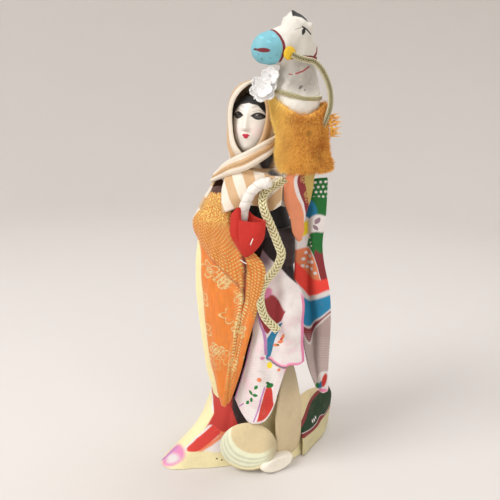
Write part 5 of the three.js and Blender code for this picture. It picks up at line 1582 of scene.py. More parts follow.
class LeftSleeve(bpy.types.Operator):
    """The printed left sleeve and the narrow inner sleeve in front of it"""

    bl_idname = "doll.left_sleeve"
    bl_label = "Printed sleeve"

    def execute(self, context):
        middle = ruffled(patch(LEFT_SLEEVE, 60, 140), 51, 14, 0.3)
        thick, coat = size("cloth") * 0.85, [self.figures(middle)]
        obj = cloth_piece("printed_sleeve", "left_sleeve", middle, thick, coat, "left_sleeve")

        strip = ruffled(patch(INNER_SLEEVE, 44, 60), 53, 9, 0.22)
        thick, coat = size("thin_cloth") * 0.8, [self.inner()]
        obj = cloth_piece("inner_sleeve", "doll", strip, thick, coat, "left_inner_sleeve")
        return {"FINISHED"}

    def inner(self):
        """Salmon cloth, a pale piping, maroon with gold threads and an ochre edge."""
        f = Finish("inner sleeve", tint("salmon"), 0.75)
        piping = [
            (0, 0.3), (0.1, 0.34), (0.22, 0.4), (0.365, 0.5), (0.463, 0.66), (0.56, 0.88), (0.65, 1), (1, 1)
        ]
        side = f.minus(f.u, f.curve(f.v, piping))
        f.paint(f.step(side, -0.01, 0.01), tint("print_white"))
        f.paint(f.step(side, 0.1, 0.12), tint("print_maroon"))
        gilt = f.use("gold figures", Vector=f.vector("SCALE", f.thread, 2.2), Twill=0.0, Figures=1.0)
        f.paint(f.times(gilt["Mask"], f.step(side, 0.18, 0.22)), tint("gold"))
        f.paint(f.step(side, 0.3, 0.32), tint("ochre"))
        return f.woven(0.3, 0.3)

    def figures(self, middle):
        """The sleeve's printed zones, from the shoulder down."""
        f = Finish("printed sleeve", tint("print_green"), 0.8)
        f.cut_from(middle)
        white, red, blue, green = (tint("print_" + k) for k in ("white", "red", "blue", "green"))
        salmon, yellow, maroon = (tint("print_" + k) for k in ("salmon", "yellow", "maroon"))
        dots = f.use("tied dots", Vector=f.thread, Pitch=(1.25, 1.5, 1), Size=0.27)
        f.paint(dots["Mask"], shade(white, 0.95))
        f.below([(0, 0.03), (0.5, 0.07), (0.77, 0.085), (1, 0.095)], green)
        f.below(
            [(0, 0.05), (0.415, 0.07), (0.63, 0.1), (0.8, 0.16), (1, 0.178)], blue, 0.006,
            f.step(f.u, 0.8, 0.7)
        )
        f.below([(0, 0.16), (0.35, 0.165), (0.51, 0.184), (0.62, 0.178), (0.75, 0.173), (1, 0.178)], white)
        f.spot((0.79, 0.203), (1.4, 0.75), tint("print_grey_and_shade"), 1.1, 0.2, "painted almond")
        f.spot((0.74, 0.23), (1.3, 0.65), tint("print_grey_and_shade"), -0.9, 0.2, "painted almond")
        f.below([(0, 0.18), (0.36, 0.188), (0.5, 0.196), (1, 0.196)], yellow, 0.005, f.step(f.u, 0.44, 0.4))
        f.below(
            [(0, 0.25), (0.19, 0.262), (0.36, 0.25), (0.5, 0.23), (1, 0.23)], white, 0.005,
            f.step(f.u, 0.44, 0.4)
        )
        f.below([(0, 0.36), (0.33, 0.31), (0.4, 0.285), (0.6, 0.254), (0.97, 0.25), (1, 0.25)], green)
        for u, v in ((0.47, 0.275), (0.53, 0.297), (0.58, 0.307)):
            f.spot((u, v), (0.42, 0.3), white, 1.0, 0.4)
        f.below([(0, 0.6), (0.68, 0.5), (0.72, 0.345), (0.9, 0.338), (1, 0.338)], maroon)
        f.below(
            [(0, 0.33), (0.3, 0.318), (0.55, 0.322), (0.68, 0.342), (0.78, 0.39), (0.84, 0.45), (1, 0.5)],
            white
        )
        f.below(
            [(0, 0.334), (0.3, 0.322), (0.55, 0.327), (0.66, 0.344), (0.76, 0.39), (0.82, 0.45), (1, 0.5)],
            salmon
        )
        blossoms = (
            (0.3, 0.345), (0.5, 0.352), (0.22, 0.375), (0.42, 0.38), (0.62, 0.375), (0.36, 0.405),
            (0.58, 0.405), (0.72, 0.418), (0.2, 0.4),
        )
        for u, v in blossoms:
            f.spot((u, v), (0.66, 0.6), white, 0.5, 0.25)
        f.below([(0, 0.388), (0.2, 0.412), (0.445, 0.434), (0.7, 0.444), (1, 0.44)], shade(red, 1.75))
        f.below([(0, 0.46), (0.2, 0.497), (0.39, 0.522), (0.6, 0.51), (0.94, 0.487), (1, 0.485)], white)
        f.below([(0, 0.515), (0.155, 0.53), (0.39, 0.545), (0.6, 0.53), (1, 0.506)], shade(blue, 1.3))
        f.below([(0, 0.637), (0.105, 0.665), (0.64, 0.618), (1, 0.57)], white)
        f.below([(0, 0.645), (0.105, 0.674), (0.64, 0.627), (1, 0.58)], maroon)
        f.below([(0, 0.68), (0.14, 0.735), (0.4, 0.69), (0.67, 0.638), (1, 0.59)], white)
        f.below([(0, 0.69), (0.14, 0.745), (0.4, 0.7), (0.67, 0.648), (1, 0.6)], tint("reverse", 1.2))
        cross = f.use("tied dots", Vector=f.thread, Pitch=(0.7, 0.7, 1), Size=0.3)
        f.paint(f.times(cross["Mask"], 0.6, f.step(f.v, 0.68, 0.72)), white)
        f.below([(0, 0.965), (0.4, 0.925), (0.6, 0.88), (1, 0.86)], white)
        f.spot((0.3, 0.965), (0.8, 1.2), green, 0.3, 0.3)
        f.spot((0.6, 0.95), (0.75, 1.8), blue, -0.3, 0.3)
        f.spot((0.88, 0.92), (0.8, 2.8), shade(red, 0.95), -0.1, 0.2)
        f.spot((0.7, 0.985), (1.9, 0.8), tint("print_pink"), 0.2, 0.4)
        return f.woven(0.25, 0.42, 0.1)


class Arms(bpy.types.Operator):
    """The bound arms and the fist round the stick"""

    bl_idname = "doll.arms"
    bl_label = "Bound arms"

    def execute(self, context):
        f = Finish("white binding", tint("binding"), 0.75, Sheen_Weight=0.2)
        _, y, _ = f.split(f.thread)
        lap = f.math("FRACT", f.math("DIVIDE", f.plus(y, f.times(f.u, 1.6)), 3.2))
        seam = f.step(lap, 0.0, 0.08)
        f.paint(f.minus(1.0, seam), tint("binding", 0.72))
        white = f.woven(0.25, 0.3, 0.12, f.times(seam, 0.8))
        radius = size("arm_radius")
        arms = (
            ("right_arm_binding", RIGHT_ARM, "right_arm", 110),
            ("left_arm_binding", LEFT_ARM, "left_arm", 40),
        )
        for name, path, node_name, steps in arms:
            hand = path is RIGHT_ARM
            arm = Shape()
            share = np.linspace(0, 1, steps)
            tip = np.clip((1 - share) * steps / 7, 0.02, 1) ** 0.5
            swell = 1 + 0.04 * np.sin(share * steps * 0.7)
            wide = 2 * radius * swell * tip * (1 + 0.22 * bell(share - 0.93, 0.05) * hand)
            thick = wide * (1 - 0.2 * bell(share - 0.95, 0.06) * hand)
            arm.sweep(path, wide, thick, steps, 28)
            arm.piece(name, "doll", [white], [node_name])
        self.fist(white)
        return {"FINISHED"}

    def fist(self, white):
        """The closed hand round the stick."""
        low, high = FIST
        around, tall = angles(72), np.linspace(low, high, 34)
        profile = np.clip(1 - (np.abs(tall - (low + high) / 2) / 2.72) ** 4, 0.02, 1) ** 0.35
        fingers = 0.14 * np.abs(np.sin((tall - low) / (high - low) * math.pi * 4))
        out = 1.65 + (1.2 * profile + fingers)[:, None]
        out = out - 0.35 * bell(np.angle(np.exp(1j * (around - 2.2))), 0.16)
        inner = oval(1.62, 1.62, around, np.array([[high - 0.2], [low + 0.2]]), HORSE_PLACE)
        rings = oval(out, out, around, tall[:, None], HORSE_PLACE)
        rings = np.concatenate([rings, inner, rings[:1]])
        fist = Shape()
        fist.loft(rings, caps=False)
        fist.piece("left_hand_fist", "doll", [white], ["left_hand"])


class Scarf(bpy.types.Operator):
    """The striped scarf: hood, neck wrap, crossing fold, bib, tail and shoulder drape"""

    bl_idname = "doll.scarf"
    bl_label = "Striped scarf"

    def execute(self, context):
        self.hood()
        self.neck_wrap()
        self.ends()
        self.drape()
        return {"FINISHED"}

    def hood(self):
        """The hood, open round the face and lapped below it."""
        rows, columns = 90, 150
        tall = np.concatenate([np.linspace(140.3, 139.4, 12), np.linspace(139.2, 112.8, rows - 12)])
        gap = table(HOOD_OPENING, tall) * DEGREE
        share = np.linspace(0, 1, columns)
        around = gap[:, None] + share * (TURN - 1.78 * gap[:, None])
        middle = head_rings(HOOD_RINGS, tall, around, -0.2)
        way = unit(middle * (1, 1, 0))
        edge = np.minimum(share, 1 - share)
        pleat = 0.22 * (1 + np.sin(share * TURN * 9 + 0.12 * tall[:, None])) * np.clip(edge * 12, 0, 1)
        lap = 0.9 * bell(share, 0.06) * np.clip((121 - tall) / 4, 0, 1)[:, None]
        roll = 0.45 * bell(edge - 0.015, 0.02)
        out = pleat + lap + roll + waves(middle, 61, 11, 0.16)
        middle = on_head(middle + way * out[..., None], HOOD_TURN)
        # The last argument places a painted shadow low on the hood's front, seen beside the crossing fold
        cloth = striped("striped hood", 7.6, (1.0, 0.0), 1.5, ((8.4, 114.4), (3.4, 4.2)))
        obj = cloth_piece("scarf_hood", "head", middle, 0.85, [cloth], "hood", lip=0.5)

    def neck_wrap(self):
        """The ring round the neck and the fold that crosses in front."""
        around, turn = angles(144), np.linspace(0, TURN, 49)[:-1, None]
        high = 109.6 + 2.75 * np.sin(turn) + 0.3 * np.sin(around * 2)
        folds = 0.32 * np.sin(turn * 5) + 0.2 * np.sin(3 * around + turn * 2)
        out = 8.35 + 3 * np.cos(turn) - 1.2 * np.clip(np.sin(turn), 0, 1)
        out = out + folds * np.clip(np.cos(turn) + 0.4, 0, 1)
        rings = oval(out, out, around, high, HEAD_AXIS)
        wrap = Shape()
        wrap.loft(np.concatenate([rings, rings[:1]]), caps=False)
        fold = patch(CROSSING, 60, 30)
        lie = np.linspace(0, 1, 30)[:, None]
        tuck = 0.35 * np.sin(lie * 17) * np.linspace(0.4, 1, 60)
        tuck = tuck + 0.3 * bell(lie - 0.1, 0.1) - 0.3 * bell(lie - 0.55, 0.12)
        fold = fold + facing(fold) * (tuck + waves(fold, 62, 8, 0.2))[..., None]
        wrap.slab(fold, np.full(fold.shape[:2], 0.8), (1, 1, 1))
        # The last argument places a painted shadow on the wrap's front, in the hollow beside the crossing
        # fold
        stripes = striped("striped wrap", 5.2, (0.25, 1.0), 0.8, ((10.2, 112.2), (2.6, 1.6)))
        crossing = striped("striped fold", 3.9, (0.0, 1.0), 1.6)
        obj = wrap.piece("scarf_neck_wrap", "doll", [stripes, crossing], ["neck_wrap"])

    def ends(self):
        """The short tail and the bib that hang from the neck wrap."""
        thick = size("thin_cloth") * 0.8
        tail = ruffled(patch(TAIL, 24, 40), 64, 9, 0.2)
        cloth = striped("striped tail", 8.2, (0.62, 0.8), 2.2)
        short = cloth_piece("scarf_tail_end", "doll", tail, thick, [cloth], "scarf_tail")
        bib = ruffled(patch(BIB, 50, 50), 65, 9, 0.25)
        cloth = striped("striped bib", 6.4, (0.9, -0.45), 1.35)
        obj = cloth_piece("scarf_bib_end", "doll", bib, thick, [cloth], "scarf_bib")

    def drape(self):
        """The cloth that lies on the shoulder behind."""
        u, v = np.meshgrid(np.linspace(1, 0, 90), np.linspace(0, 1, 44))
        turn = (-50 - 8 * v - 150 * u) * DEGREE
        reach = 12.75 + (8 - 2.4 * u) * v
        drape = oval(reach, reach, turn, 108.6 - 16.4 * v, HEAD_AXIS)
        drape = drape + facing(drape) * (waves(drape, 67, 13, 0.4) + 0.35 * np.sin(u * 26) * v)[..., None]
        under = plain_cloth("drape underside", "underside", 0.8, 0.4)
        thick = size("thin_cloth") * 0.9
        coats = [striped("striped drape", 9.0, (0.1, 1.0), 5.5), under]
        obj = cloth_piece(
            "scarf_shoulder_drape", "doll", drape, thick, coats, "shoulder_drape", (0, 1, 0)
        )


class Head(bpy.types.Operator):
    """The painted head, its hair and the white flower"""

    bl_idname = "doll.head"
    bl_label = "Painted head"

    def execute(self, context):
        self.skull()
        self.hair()
        self.flower()
        return {"FINISHED"}

    def skull(self):
        """The moulded head on its neck, with nose, eye hollows, lips and chin."""
        around, tall = np.repeat(angles(144)[None], 130, 0), np.linspace(116.85, 136.55, 130)
        skin = head_rings(HEAD_RINGS, tall, around)
        x, z = skin[..., 0], skin[..., 2]
        front = np.cos(around) > 0
        bridge = np.interp(z, (124.3, 124.9, 125.5, 128, 130.4, 132), (0, 1.0, 1.45, 0.75, 0.3, 0))
        relief = bridge * bell(x, 0.85 + 0.35 * bell(z - 125.3, 0.9))
        relief = relief - 0.4 * bell(np.abs(x) - 3.5, 1.9) * bell(z - 129.3, 1.6)
        relief = relief + 0.4 * bell(x, 1.2) * bell(z - 123, 0.8) + 0.3 * bell(x, 1.6) * bell(z - 119.2, 1.0)
        relief = relief + 0.2 * bell(np.abs(x) - 3.2, 1.8) * bell(z - 124.6, 2.2)
        skin[..., 1] -= relief * front
        paint = np.stack([np.where(front, x, BARE), z], -1)
        paint = np.concatenate([paint, paint[:, :1]], 1)
        shape = Shape()
        shape.loft(on_head(skin), paint, paint)
        high, thick = np.array(((108.1, 3.2), (112, 3.136), (116, 3.2), (119, 3.52))).T[..., None]
        neck = oval(thick, thick, angles(48), high)
        bare = np.full((4, 49, 2), BARE)
        shape.loft(on_head(neck), bare, bare)
        shape.piece("painted_head", "head", [self.face()], ["head"], 80)

    def hair(self):
        """The combed hair under the hood."""
        around = np.linspace(-math.pi, math.pi, 121)
        line = np.interp(np.abs(around) / DEGREE, *np.array(HAIR_LINE).T)
        share = np.linspace(0, 1, 44)[:, None]
        heights = HAIR_TOP - (HAIR_TOP - line) * share
        read = read_at(HEAD_RINGS, np.minimum(heights, HEAD_RINGS[-1][0]).ravel()).reshape(44, 121, 4)
        cap = head_oval(read, around, 0.2, heights)
        cap[..., :2] *= np.clip((HAIR_TOP - heights) / 1.6, 0, 1)[..., None] ** 0.5
        cap = on_head(cap)
        f = Finish("black hair", tint("ink"), 0.42, Coat_Weight=0.1)
        comb = f.noise(f.vector("MULTIPLY", f.cloth, (160, 6, 1)), 1.0, 3.0)
        f.ground = f.mix(comb, tint("ink", 0.6), tint("ink", 2.2))
        cloth_piece("black_hair", "head", cap, 0.5, [f.done(comb, 0.14)], "hair")

    def flower(self):
        """White cupped petals round two middles."""
        blossoms = Shape()
        main = np.array([9.3, -18.4, 138.1])
        out = unit(np.array([0.35, -0.9, 0.25]))
        side = unit(np.cross((0, 0, 1), out))
        up = np.cross(out, side)
        share, turn = np.meshgrid(np.linspace(0, 1, 15), np.linspace(-1, 1, 15), indexing="ij")

        def petals(middle, count, reach, wide, start, cup):
            for k in range(count):
                angle = start + k / count * TURN
                c, s = math.cos(angle), math.sin(angle)
                way, across = side * s + up * c, side * c - up * s
                span = wide * np.sin(np.clip(share, 0.03, 0.985) * math.pi) ** 0.55 * (0.55 + 0.6 * share)
                rise = cup * (share**2) + 0.5 * turn**2 * share
                grid = middle + way * (0.4 + reach * share)[..., None]
                grid = grid + across * (span * turn)[..., None] + out * rise[..., None]
                blossoms.slab(grid, np.full(grid.shape[:2], 0.55), lip=0.5)

        petals(main - out * 0.6, 6, 3.6, 1.7, 0.2, 0.9)
        petals(main + out * 0.5, 5, 2.5, 1.3, 0.6, 1.0)
        petals(main + up * 3.7 + side * 1.9 + out * 0.3, 5, 2.1, 1.15, 0.1, 0.6)
        thick = [1.2, 1.9, 0.5]
        blossoms.sweep([main - out * 0.9, main, main + out * 0.9], thick, thick, 3, 14)
        blossoms.sweep([main, (5.6, -14.4, 136.4), (2.6, -11.2, 134.9)], 0.7, 0.7, 12, 10)
        f = Finish("white petals", tint("flower"), 0.75)
        crimp = f.noise(f.vector("MULTIPLY", f.cloth, (9, 1.2, 1)), 1.0, 3.0)
        f.ground = f.mix(crimp, tint("flower", 0.86), tint("flower"))
        blossoms.piece("white_flower", "head", [f.done(crimp, 0.2)], ["hair_flower"])

    def face(self):
        """Chalk white with painted eyes, brows and lips."""
        f = Finish("painted face", tint("face"), 0.42, Coat_Weight=0.15)
        t = f.thread
        ink = tint("ink")
        for sign in (-1, 1):
            f.spot((sign * 3.6, 124.6), (2.0, 1.7), (1.0, 0.86, 0.82), 0.0, 0.9, on=t)
            f.stroke(
                [(sign * 1.6, 132.0), (sign * 3.3, 132.8), (sign * 5.2, 132.2)], 0.4, (0.6, 0.54, 0.51),
                0.28, t
            )
            f.stroke(
                [(sign * 1.8, 130.7), (sign * 3.7, 131.3), (sign * 5.6, 130.5)], 0.14, (0.5, 0.44, 0.42),
                0.1, t
            )
            f.spot((sign * 3.65, 129.4), (2.3, 1.15), ink, -sign * 0.06, 0.12, "painted almond", t)
            f.spot((sign * 3.6, 129.1), (1.3, 0.3), (0.1, 0.09, 0.09), -sign * 0.1, 0.4, on=t)
            # Painted highlight: a small grey spot on each black eye, on the same side for both
            f.spot((sign * 3.6 - 0.5, 129.75), (0.42, 0.18), (0.42, 0.4, 0.39), 0.3, 0.5, on=t)
            f.stroke([(sign * 1.35, 129.3), (sign * 1.9, 129.6)], 0.22, ink, 0.08, t)
            f.spot((sign * 0.42, 124.72), (0.16, 0.1), (0.55, 0.36, 0.33), 0.0, 0.5, on=t)
        lips = tint("lips")
        f.spot((-0.55, 123.25), (0.72, 0.42), lips, 0.3, 0.15, on=t)
        f.spot((0.55, 123.25), (0.72, 0.42), lips, -0.3, 0.15, on=t)
        f.spot((0, 122.65), (0.8, 0.52), shade(lips, 1.1), 0.0, 0.15, on=t)
        f.stroke(
            [(-1.3, 123.2), (-0.4, 122.98), (0.4, 122.98), (1.3, 123.2)], 0.12, shade(lips, 0.35), 0.06, t
        )
        return f.done(f.chalk(0.05), 0.02)


class Horse(bpy.types.Operator):
    """The moulded horse head with its bits, reins, neck cord and plush collar"""

    bl_idname = "doll.horse"
    bl_label = "Toy horse"

    def execute(self, context):
        self.head()
        self.bits()
        self.straps()
        self.collar()
        return {"FINISHED"}

    def head(self):
        """The moulded head and neck, fused from lofts and smoothed."""
        around = angles(72)
        solid = Shape()
        tall, ahead, long, wide = spline(HORSE_NECK, np.linspace(0, 1, 60)).T[..., None]
        solid.loft(horse_place(oval(wide, long, around, tall, (0, ahead))))
        ahead, tall, wide, high = spline(MUZZLE, np.linspace(0, 1, 50)).T[..., None]
        rings = np.broadcast_arrays(wide * np.sin(around), -ahead, tall + high * np.cos(around))
        solid.loft(horse_place(np.stack(rings, -1)))
        for sign in (-1, 1):
            back = 3.2 + sign * 3.2
            tip = (sign * 2.3, back - 4.5, 158.3 - sign * 0.9)
            ear = [(sign * 2, back - 4, 155), (sign * 2.3, back - 4.4, 157), tip]
            wide, thick = np.array(((3.4, 2.7, 0.7), (3.0, 2.3, 0.6))) * (0.86 - 0.14 * sign)
            solid.sweep(horse_place(ear), wide, thick, 3, 20)
        crest = [(0, -4.4, 158), (0, -2.7, 159.5), (0, -0.4, 158.6), (0, 2.6, 156.4)]
        solid.sweep(horse_place(crest), [1.4, 2.8, 2.8, 1.4], [1.4, 2.4, 2.4, 1.4], 4, 20)
        raw = bpy.data.objects.new("horse_cast", solid.mesh("horse_cast", [self.paint()]))
        bpy.context.scene.collection.objects.link(raw)
        fuse = raw.modifiers.new("fuse", "REMESH")
        fuse.mode, fuse.voxel_size, fuse.use_smooth_shade = "VOXEL", 0.36 * MM, True
        smooth = raw.modifiers.new("smooth", "SMOOTH")
        smooth.factor, smooth.iterations = 0.5, 14
        mesh = frozen(raw)
        bpy.data.objects.remove(raw)
        points, normal = skin_of(mesh)
        lumps = waves(points, 71, 7, 0.2) + waves(points, 72, 3, 0.09)
        points = (points + normal * lumps[:, None]) * MM
        mesh.vertices.foreach_set("co", points.astype(np.float32).ravel())
        mesh.materials.clear()
        mesh.materials.append(bpy.data.materials["painted horse"])
        mesh.update()
        mesh.name = "painted_horse_head"
        dressed(bpy.data.objects.new("painted_horse_head", mesh), "horse", ["horse_head"])

    def paint(self):
        """White horse with a pale blue muzzle, bridle lines, eyes and forelock."""
        f = Finish("painted horse", tint("horse"), 0.6)
        c, s = math.cos(HORSE_TURN), math.sin(HORSE_TURN)
        x, y, z = f.split(f.vector("SCALE", f.place, 1 / MM))
        x, y = f.minus(x, HORSE_PLACE[0]), f.minus(y, HORSE_PLACE[1])
        across = f.plus(f.times(x, c), f.times(y, s))
        ahead = f.minus(f.times(x, s), f.times(y, c))
        side = f.join(ahead, z)
        relief = f.chalk(0.45)
        # A grey patch, broken up by noise, on the side of the neck
        grey_patch = f.mark(side, (0.8, 141.4), (6.2, 4.2), 0.2, 0.6)
        grey_patch = f.times(grey_patch, f.step(f.noise(f.place, 420.0, 5.0), 0.12, 0.5))
        f.paint(f.times(grey_patch, 0.9), (0.34, 0.31, 0.27))
        # Painted shade: a soft grey wash over the side of the head below the eye
        cheek = f.mark(side, (-1.2, 151.6), (5.4, 6.4), 0.1, 0.8)
        f.paint(f.times(cheek, 0.42), (0.4, 0.37, 0.31))
        rise = f.minus(z, 148.8)
        line = f.minus(ahead, f.math("MULTIPLY_ADD", f.times(rise, rise), 0.075, 6.9))
        head = f.step(z, 143.0, 143.6)
        wobble = f.plus(line, f.math("MULTIPLY_ADD", f.noise(f.place, 260.0), 0.8, -0.4))
        blue = f.use("chalk paint", Color=tint("muzzle"), Vector=f.place, Dirt=0.1)["Color"]
        f.paint(f.times(f.step(wobble, -0.1, 0.1), head), blue)
        bridle = tint("bridle")
        rim = f.math("ABSOLUTE", f.plus(wobble, 0.45))
        f.paint(f.times(f.step(rim, 0.52, 0.36), head, f.step(z, 145.4, 146.2)), bridle)
        f.stroke([(4.6, 146.9), (2, 147.5), (-2, 147.7), (-5.6, 147.4)], 0.75, bridle, 0.1, side)
        f.stroke([(-3.4, 147.7), (-4.6, 149.2), (-5.2, 151.4)], 0.8, bridle, 0.12, side)
        f.stroke([(4.1, 142.6), (3.3, 142.5)], 0.3, shade(bridle, 1.6), 0.08, side)
        f.stroke([(2.3, 142.8), (0.4, 143.5), (-1.6, 144.9)], 0.42, shade(bridle, 1.6), 0.1, side)
        f.spot((12.3, 148.9), (1.85, 0.62), bridle, 0.03, 0.14, on=side)
        f.spot((14.3, 149.1), (0.4, 0.3), shade(bridle, 0.6), 0.2, 0.3, on=side)
        ink = tint("ink")
        f.spot((0.55, 154.7), (0.62, 1.15), ink, 0.35, 0.15, "painted almond", side)
        f.stroke([(3.2, 155.0), (1.5, 155.6), (0.3, 155.9)], 0.14, (0.2, 0.19, 0.18), 0.06, side)
        f.stroke([(0.9, 155.9), (-0.6, 155.2), (-2.0, 154.1)], 0.48, ink, 0.08, side)
        narrow = f.step(f.math("ABSOLUTE", across), 2.3, 1.95)
        lock = f.times(f.step(f.plus(z, f.times(ahead, -0.55)), 156.6, 157.0), narrow)
        f.paint(f.times(lock, f.step(ahead, 3.6, 3.2), f.step(ahead, -2.6, -2.2)), ink)
        f.spot((0.9, 139.0), (0.85, 0.42), (0.16, 0.14, 0.13), -0.7, 0.25, "painted almond", side)
        f.spot((-0.4, 138.2), (0.5, 0.22), (0.2, 0.18, 0.17), -0.9, 0.3, "painted almond", side)
        for a, h in ((13.5, 147.7), (12.5, 146.6), (12.2, 146.3), (10.1, 146.8), (8.3, 147.7)):
            f.spot((a, h), (0.2, 0.13), (0.1, 0.2, 0.22), 0.6, 0.4, on=side)
        for a, h in ((12.7, 152.4), (9.3, 152.9), (10.9, 151.3)):
            f.spot((a, h), (0.5, 0.26), tint("muzzle", 1.3), 0.3, 0.8, on=side)
        speck = f.step(f.noise(f.place, 900.0, 3.0, 0.7), 0.7, 0.74)
        f.paint(f.times(speck, 0.6), (0.2, 0.16, 0.15))
        return f.done(relief, 0.14)

    def bits(self):
        """Two crowned yellow discs, drawn out to a point at the back."""
        f = Finish("yellow paint", tint("bit"), 0.5)
        yellow = f.done(f.chalk(0.15), 0.06)
        turn, out = np.linspace(0, TURN, 49), np.linspace(0, 1, 14)
        for name, node_name, sign in (("bit_left", "bit_disc_left", 1), ("bit_right", "bit_disc_right", -1)):
            disc = Shape()
            long = 1.65 + 0.4 * np.clip(-np.sin(turn), 0, 1) ** 2
            for face in (1, -1):
                high = 5.45 + face * (0.5 * (1 - out**4) ** 0.5)[:, None] * np.ones(49)
                y = -5 + np.outer(out, -np.sin(turn) * long)
                z = 148.4 + np.outer(out, np.cos(turn)) * 1.9 + 0.12 * y + 0.6
                disc.grid(horse_place(np.stack([sign * high, y, z], -1)))
            disc.piece(name, "horse", [yellow], [node_name])

    def straps(self):
        """The reins and the cord round the neck."""
        wide = size("rein_width")
        gold = gold_plait("gold rein", wide, 0.72, 0.7)
        reins = (("rein_strap_left", "rein_left", 1), ("rein_strap_right", "rein_right", -1))
        for name, node_name, sign in reins:
            strap = Shape()
            path = horse_place(np.array(REIN) * (sign, 1, 1))
            way = horse_place((sign, 0, 0)) - horse_place((0, 0, 0))
            strap.sweep(path, wide, size("braid_thickness"), 90, 18, 0.6, way)
            strap.piece(name, "horse", [gold], [node_name])
        around = angles(120)
        low, high = (np.array(c)[2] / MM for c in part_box("neck_cord"))
        tall, centre = np.linspace(low, high, 12), (low + high) / 2
        band = np.stack([5.95 * np.sin(around), -7.2 * np.cos(around)], -1)
        slope = (0.25 * np.sin(around * 2 + 1) + 1.3 * np.clip(np.cos(around), 0, 1))[:, None]
        swell = 0.15 + 0.72 * np.clip(1 - ((tall - centre) / (high - low) * 2) ** 4, 0, 1) ** 0.5
        rings = [np.append(band + unit(band) * g, t + slope, 1) for t, g in zip(tall, swell)]
        back = [np.append(band, t + slope, 1) for t in (high - 0.1, low + 0.1)]
        rings = horse_place(np.array([*rings, *back, rings[0]]))
        far = np.append(around, TURN) * 6.6
        rows = np.append(tall - centre, (0, 0, tall[0] - centre))
        thread = np.stack(np.meshgrid(far, rows), -1)[..., ::-1]
        cord = Shape()
        cord.loft(rings, thread / 40, thread, caps=False)
        gold = gold_plait("gold cord", 1.5, 0.85, 0.3)
        cord.piece("neck_cord_band", "horse", [gold], ["neck_cord"])

    def collar(self):
        """The plush collar: a backing with combed strands of pile."""
        around = angles(108)
        share = np.linspace(0, 1, 40)
        read = spline(PLUSH, share)[:, None]
        ahead = np.cos(around)
        rise = (
            4.2 * np.clip(ahead, 0, 1) ** 1.7 + 3.8 * np.clip(-ahead, 0, 1) ** 2
            + 0.35 * np.sin(3 * around + 1)
        )
        lift = (share**3)[:, None] * rise - 0.5 * (1 - share[:, None]) ** 4 * np.sin(2 * around)
        tall = read[..., 0] + lift
        pressed = 0.9 * bell(around - 5.3, 0.6) * np.clip(share[:, None] * 3.3 - 1, 0, 1)

        def skin(grow):
            wide, long = (read[..., k] + grow - pressed for k in (3, 2))
            return oval(wide, long, around, tall, (0, read[..., 1]))

        outer, inner = skin(-1.0), skin(-1.9)
        outer = outer + unit(outer * (1, 1, 0)) * waves(outer, 81, 8, 0.35)[..., None]
        rings = horse_place(np.concatenate([outer, inner[::-1], outer[:1]]))
        flat = np.stack(np.meshgrid(np.append(around, TURN) / TURN, np.linspace(0, 1, len(rings))), -1)
        shape = Shape()
        shape.loft(rings, flat, None, caps=False)
        plush = self.plush()
        mesh = shape.mesh("plush_pile", [plush])
        obj = bpy.data.objects.new("plush_pile", mesh)
        bpy.context.scene.collection.objects.link(obj)
        points, normal = skin_of(mesh)
        outward = ((points[:, :2] - HORSE_PLACE) * normal[:, :2]).sum(1)
        pile = mesh.attributes.new("pile", "FLOAT", "POINT").data
        pile.foreach_set("value", (outward > -1.0).astype(np.float32))
        tree, into, out = node_tree("combed pile", ("Density", "Length", "Strand"))
        pile = node(tree, "GeometryNodeInputNamedAttribute", {"Name": "pile"}, data_type="FLOAT")
        dense = node(tree, "ShaderNodeMath", {0: pile.outputs[0], 1: into["Density"]}, operation="MULTIPLY")
        dots = node(
            tree, "GeometryNodeDistributePointsOnFaces",
            {"Mesh": into["Geometry"], "Density": dense.outputs[0], "Seed": 4}
        )
        comb = node(tree, "ShaderNodeVectorMath", {0: dots.outputs["Normal"], 1: (-0.15, 0.1, -0.75)})
        hair = strands(tree, into, dots.outputs["Points"], comb.outputs[0], 11, plush, 0.55)
        both = node(tree, "GeometryNodeJoinGeometry")
        tree.links.new(into["Geometry"], both.inputs[0])
        tree.links.new(hair, both.inputs[0])
        tree.links.new(both.outputs[0], out[0])
        grown(obj, tree, {"Density": 14.0e6, "Length": size("pile") * MM, "Strand": size("strand") * MM / 2})
        dressed(obj, "horse", ["plush_collar"])
        edge = ((6, 8.2, 131), (5.4, 9.3, 128.8), (4.6, 10.2, 126.6), (4, 10.6, 124.6))
        skirt = ((6.6, 6.2, 113.6), (5.6, 9, 114.2), (3.8, 11.2, 115.4), (2, 12, 117.8))
        for name, line, steps, way, sizes in (
            ("plush_tufts", edge, 30, (0.9, 0.45, 0.3), (0.16, 3.6, 0.3)),
            ("plush_edge", skirt, 40, (0.8, 0.4, -0.3), (0.14, 1.7, 0.24)),
        ):
            line = horse_place(spline(line, np.linspace(0, 1, steps)))
            dressed(fringe(name, [line], plush, way, sizes), "horse", [])

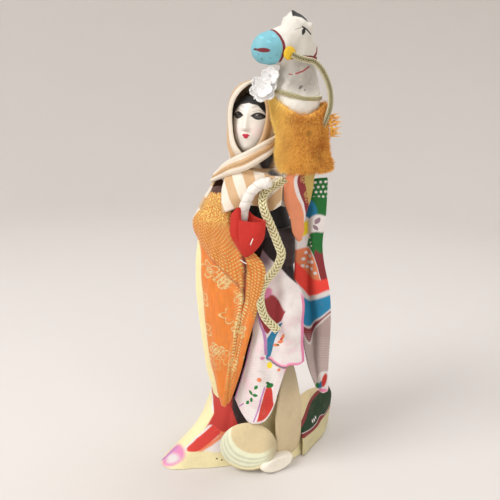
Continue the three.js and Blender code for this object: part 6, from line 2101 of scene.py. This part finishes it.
    def plush(self):
        """Orange pile, deeper at places, with a small dark spot and painted light on its left side."""
        f = Finish("orange pile", tint("plush"), 0.85, Sheen_Weight=0.1)
        tone = f.noise(f.place, 170.0, 4.0)
        fine = f.noise(f.place, 1500.0, 2.0)
        f.ground = f.mix(
            f.step(f.plus(tone, f.times(fine, 0.5)), 0.55, 0.92), tint("plush_deep"), tint("plush")
        )
        f.paint(f.times(f.step(fine, 0.56, 0.68), 0.5), tint("plush", 1.3))
        f.paint(f.times(f.step(fine, 0.44, 0.34), 0.45), tint("plush_deep", 0.55))
        # Painted light: the pile is paler towards its left side
        across = f.vector("DOT_PRODUCT", f.place, (math.cos(CAMERA_YAW), math.sin(CAMERA_YAW), 0))
        f.paint(f.times(f.step(across, 0.012, 0.003), 0.85), tint("plush_pale"))
        place = horse_place((8.3, 2, 125.6)) * MM
        far = f.vector("DISTANCE", f.place, tuple(place))
        f.paint(f.times(f.step(far, 0.0017, 0.0003), 0.7), tint("plush_deep", 0.5))
        return f.done(fine, 0.12)


PIECES = (Braid, Frame, Kimono, Hem, Panel, RightSleeve, LeftSleeve, Arms, Scarf, Head, Horse)


class DollPanel(bpy.types.Panel):
    """Lists the doll's pieces in the sidebar"""

    bl_idname = "VIEW3D_PT_doll"
    bl_label = "Kimono dancer doll"
    bl_space_type = "VIEW_3D"
    bl_region_type = "UI"
    bl_category = "Doll"

    def draw(self, context):
        for kind in (Stage, *PIECES):
            self.layout.operator(kind.bl_idname)
        for owner in (context.scene.doll_sizes, context.scene.doll_colours):
            for name in owner.__annotations__:
                self.layout.prop(owner, name)


CLASSES = (DollSizes, DollColours, Stage, *PIECES, DollPanel)


def register():
    for kind in CLASSES:
        bpy.utils.register_class(kind)
    bpy.types.Scene.doll_sizes = bpy.props.PointerProperty(type=DollSizes)
    bpy.types.Scene.doll_colours = bpy.props.PointerProperty(type=DollColours)


def unregister():
    del bpy.types.Scene.doll_colours
    del bpy.types.Scene.doll_sizes
    for kind in reversed(CLASSES):
        bpy.utils.unregister_class(kind)


def main():
    register()
    make_groups()
    for kind in (Stage, *PIECES):
        area, name = kind.bl_idname.split(".")
        getattr(getattr(bpy.ops, area), name)()
    bpy.context.view_layer.update()


if __name__ == "__main__":
    main()
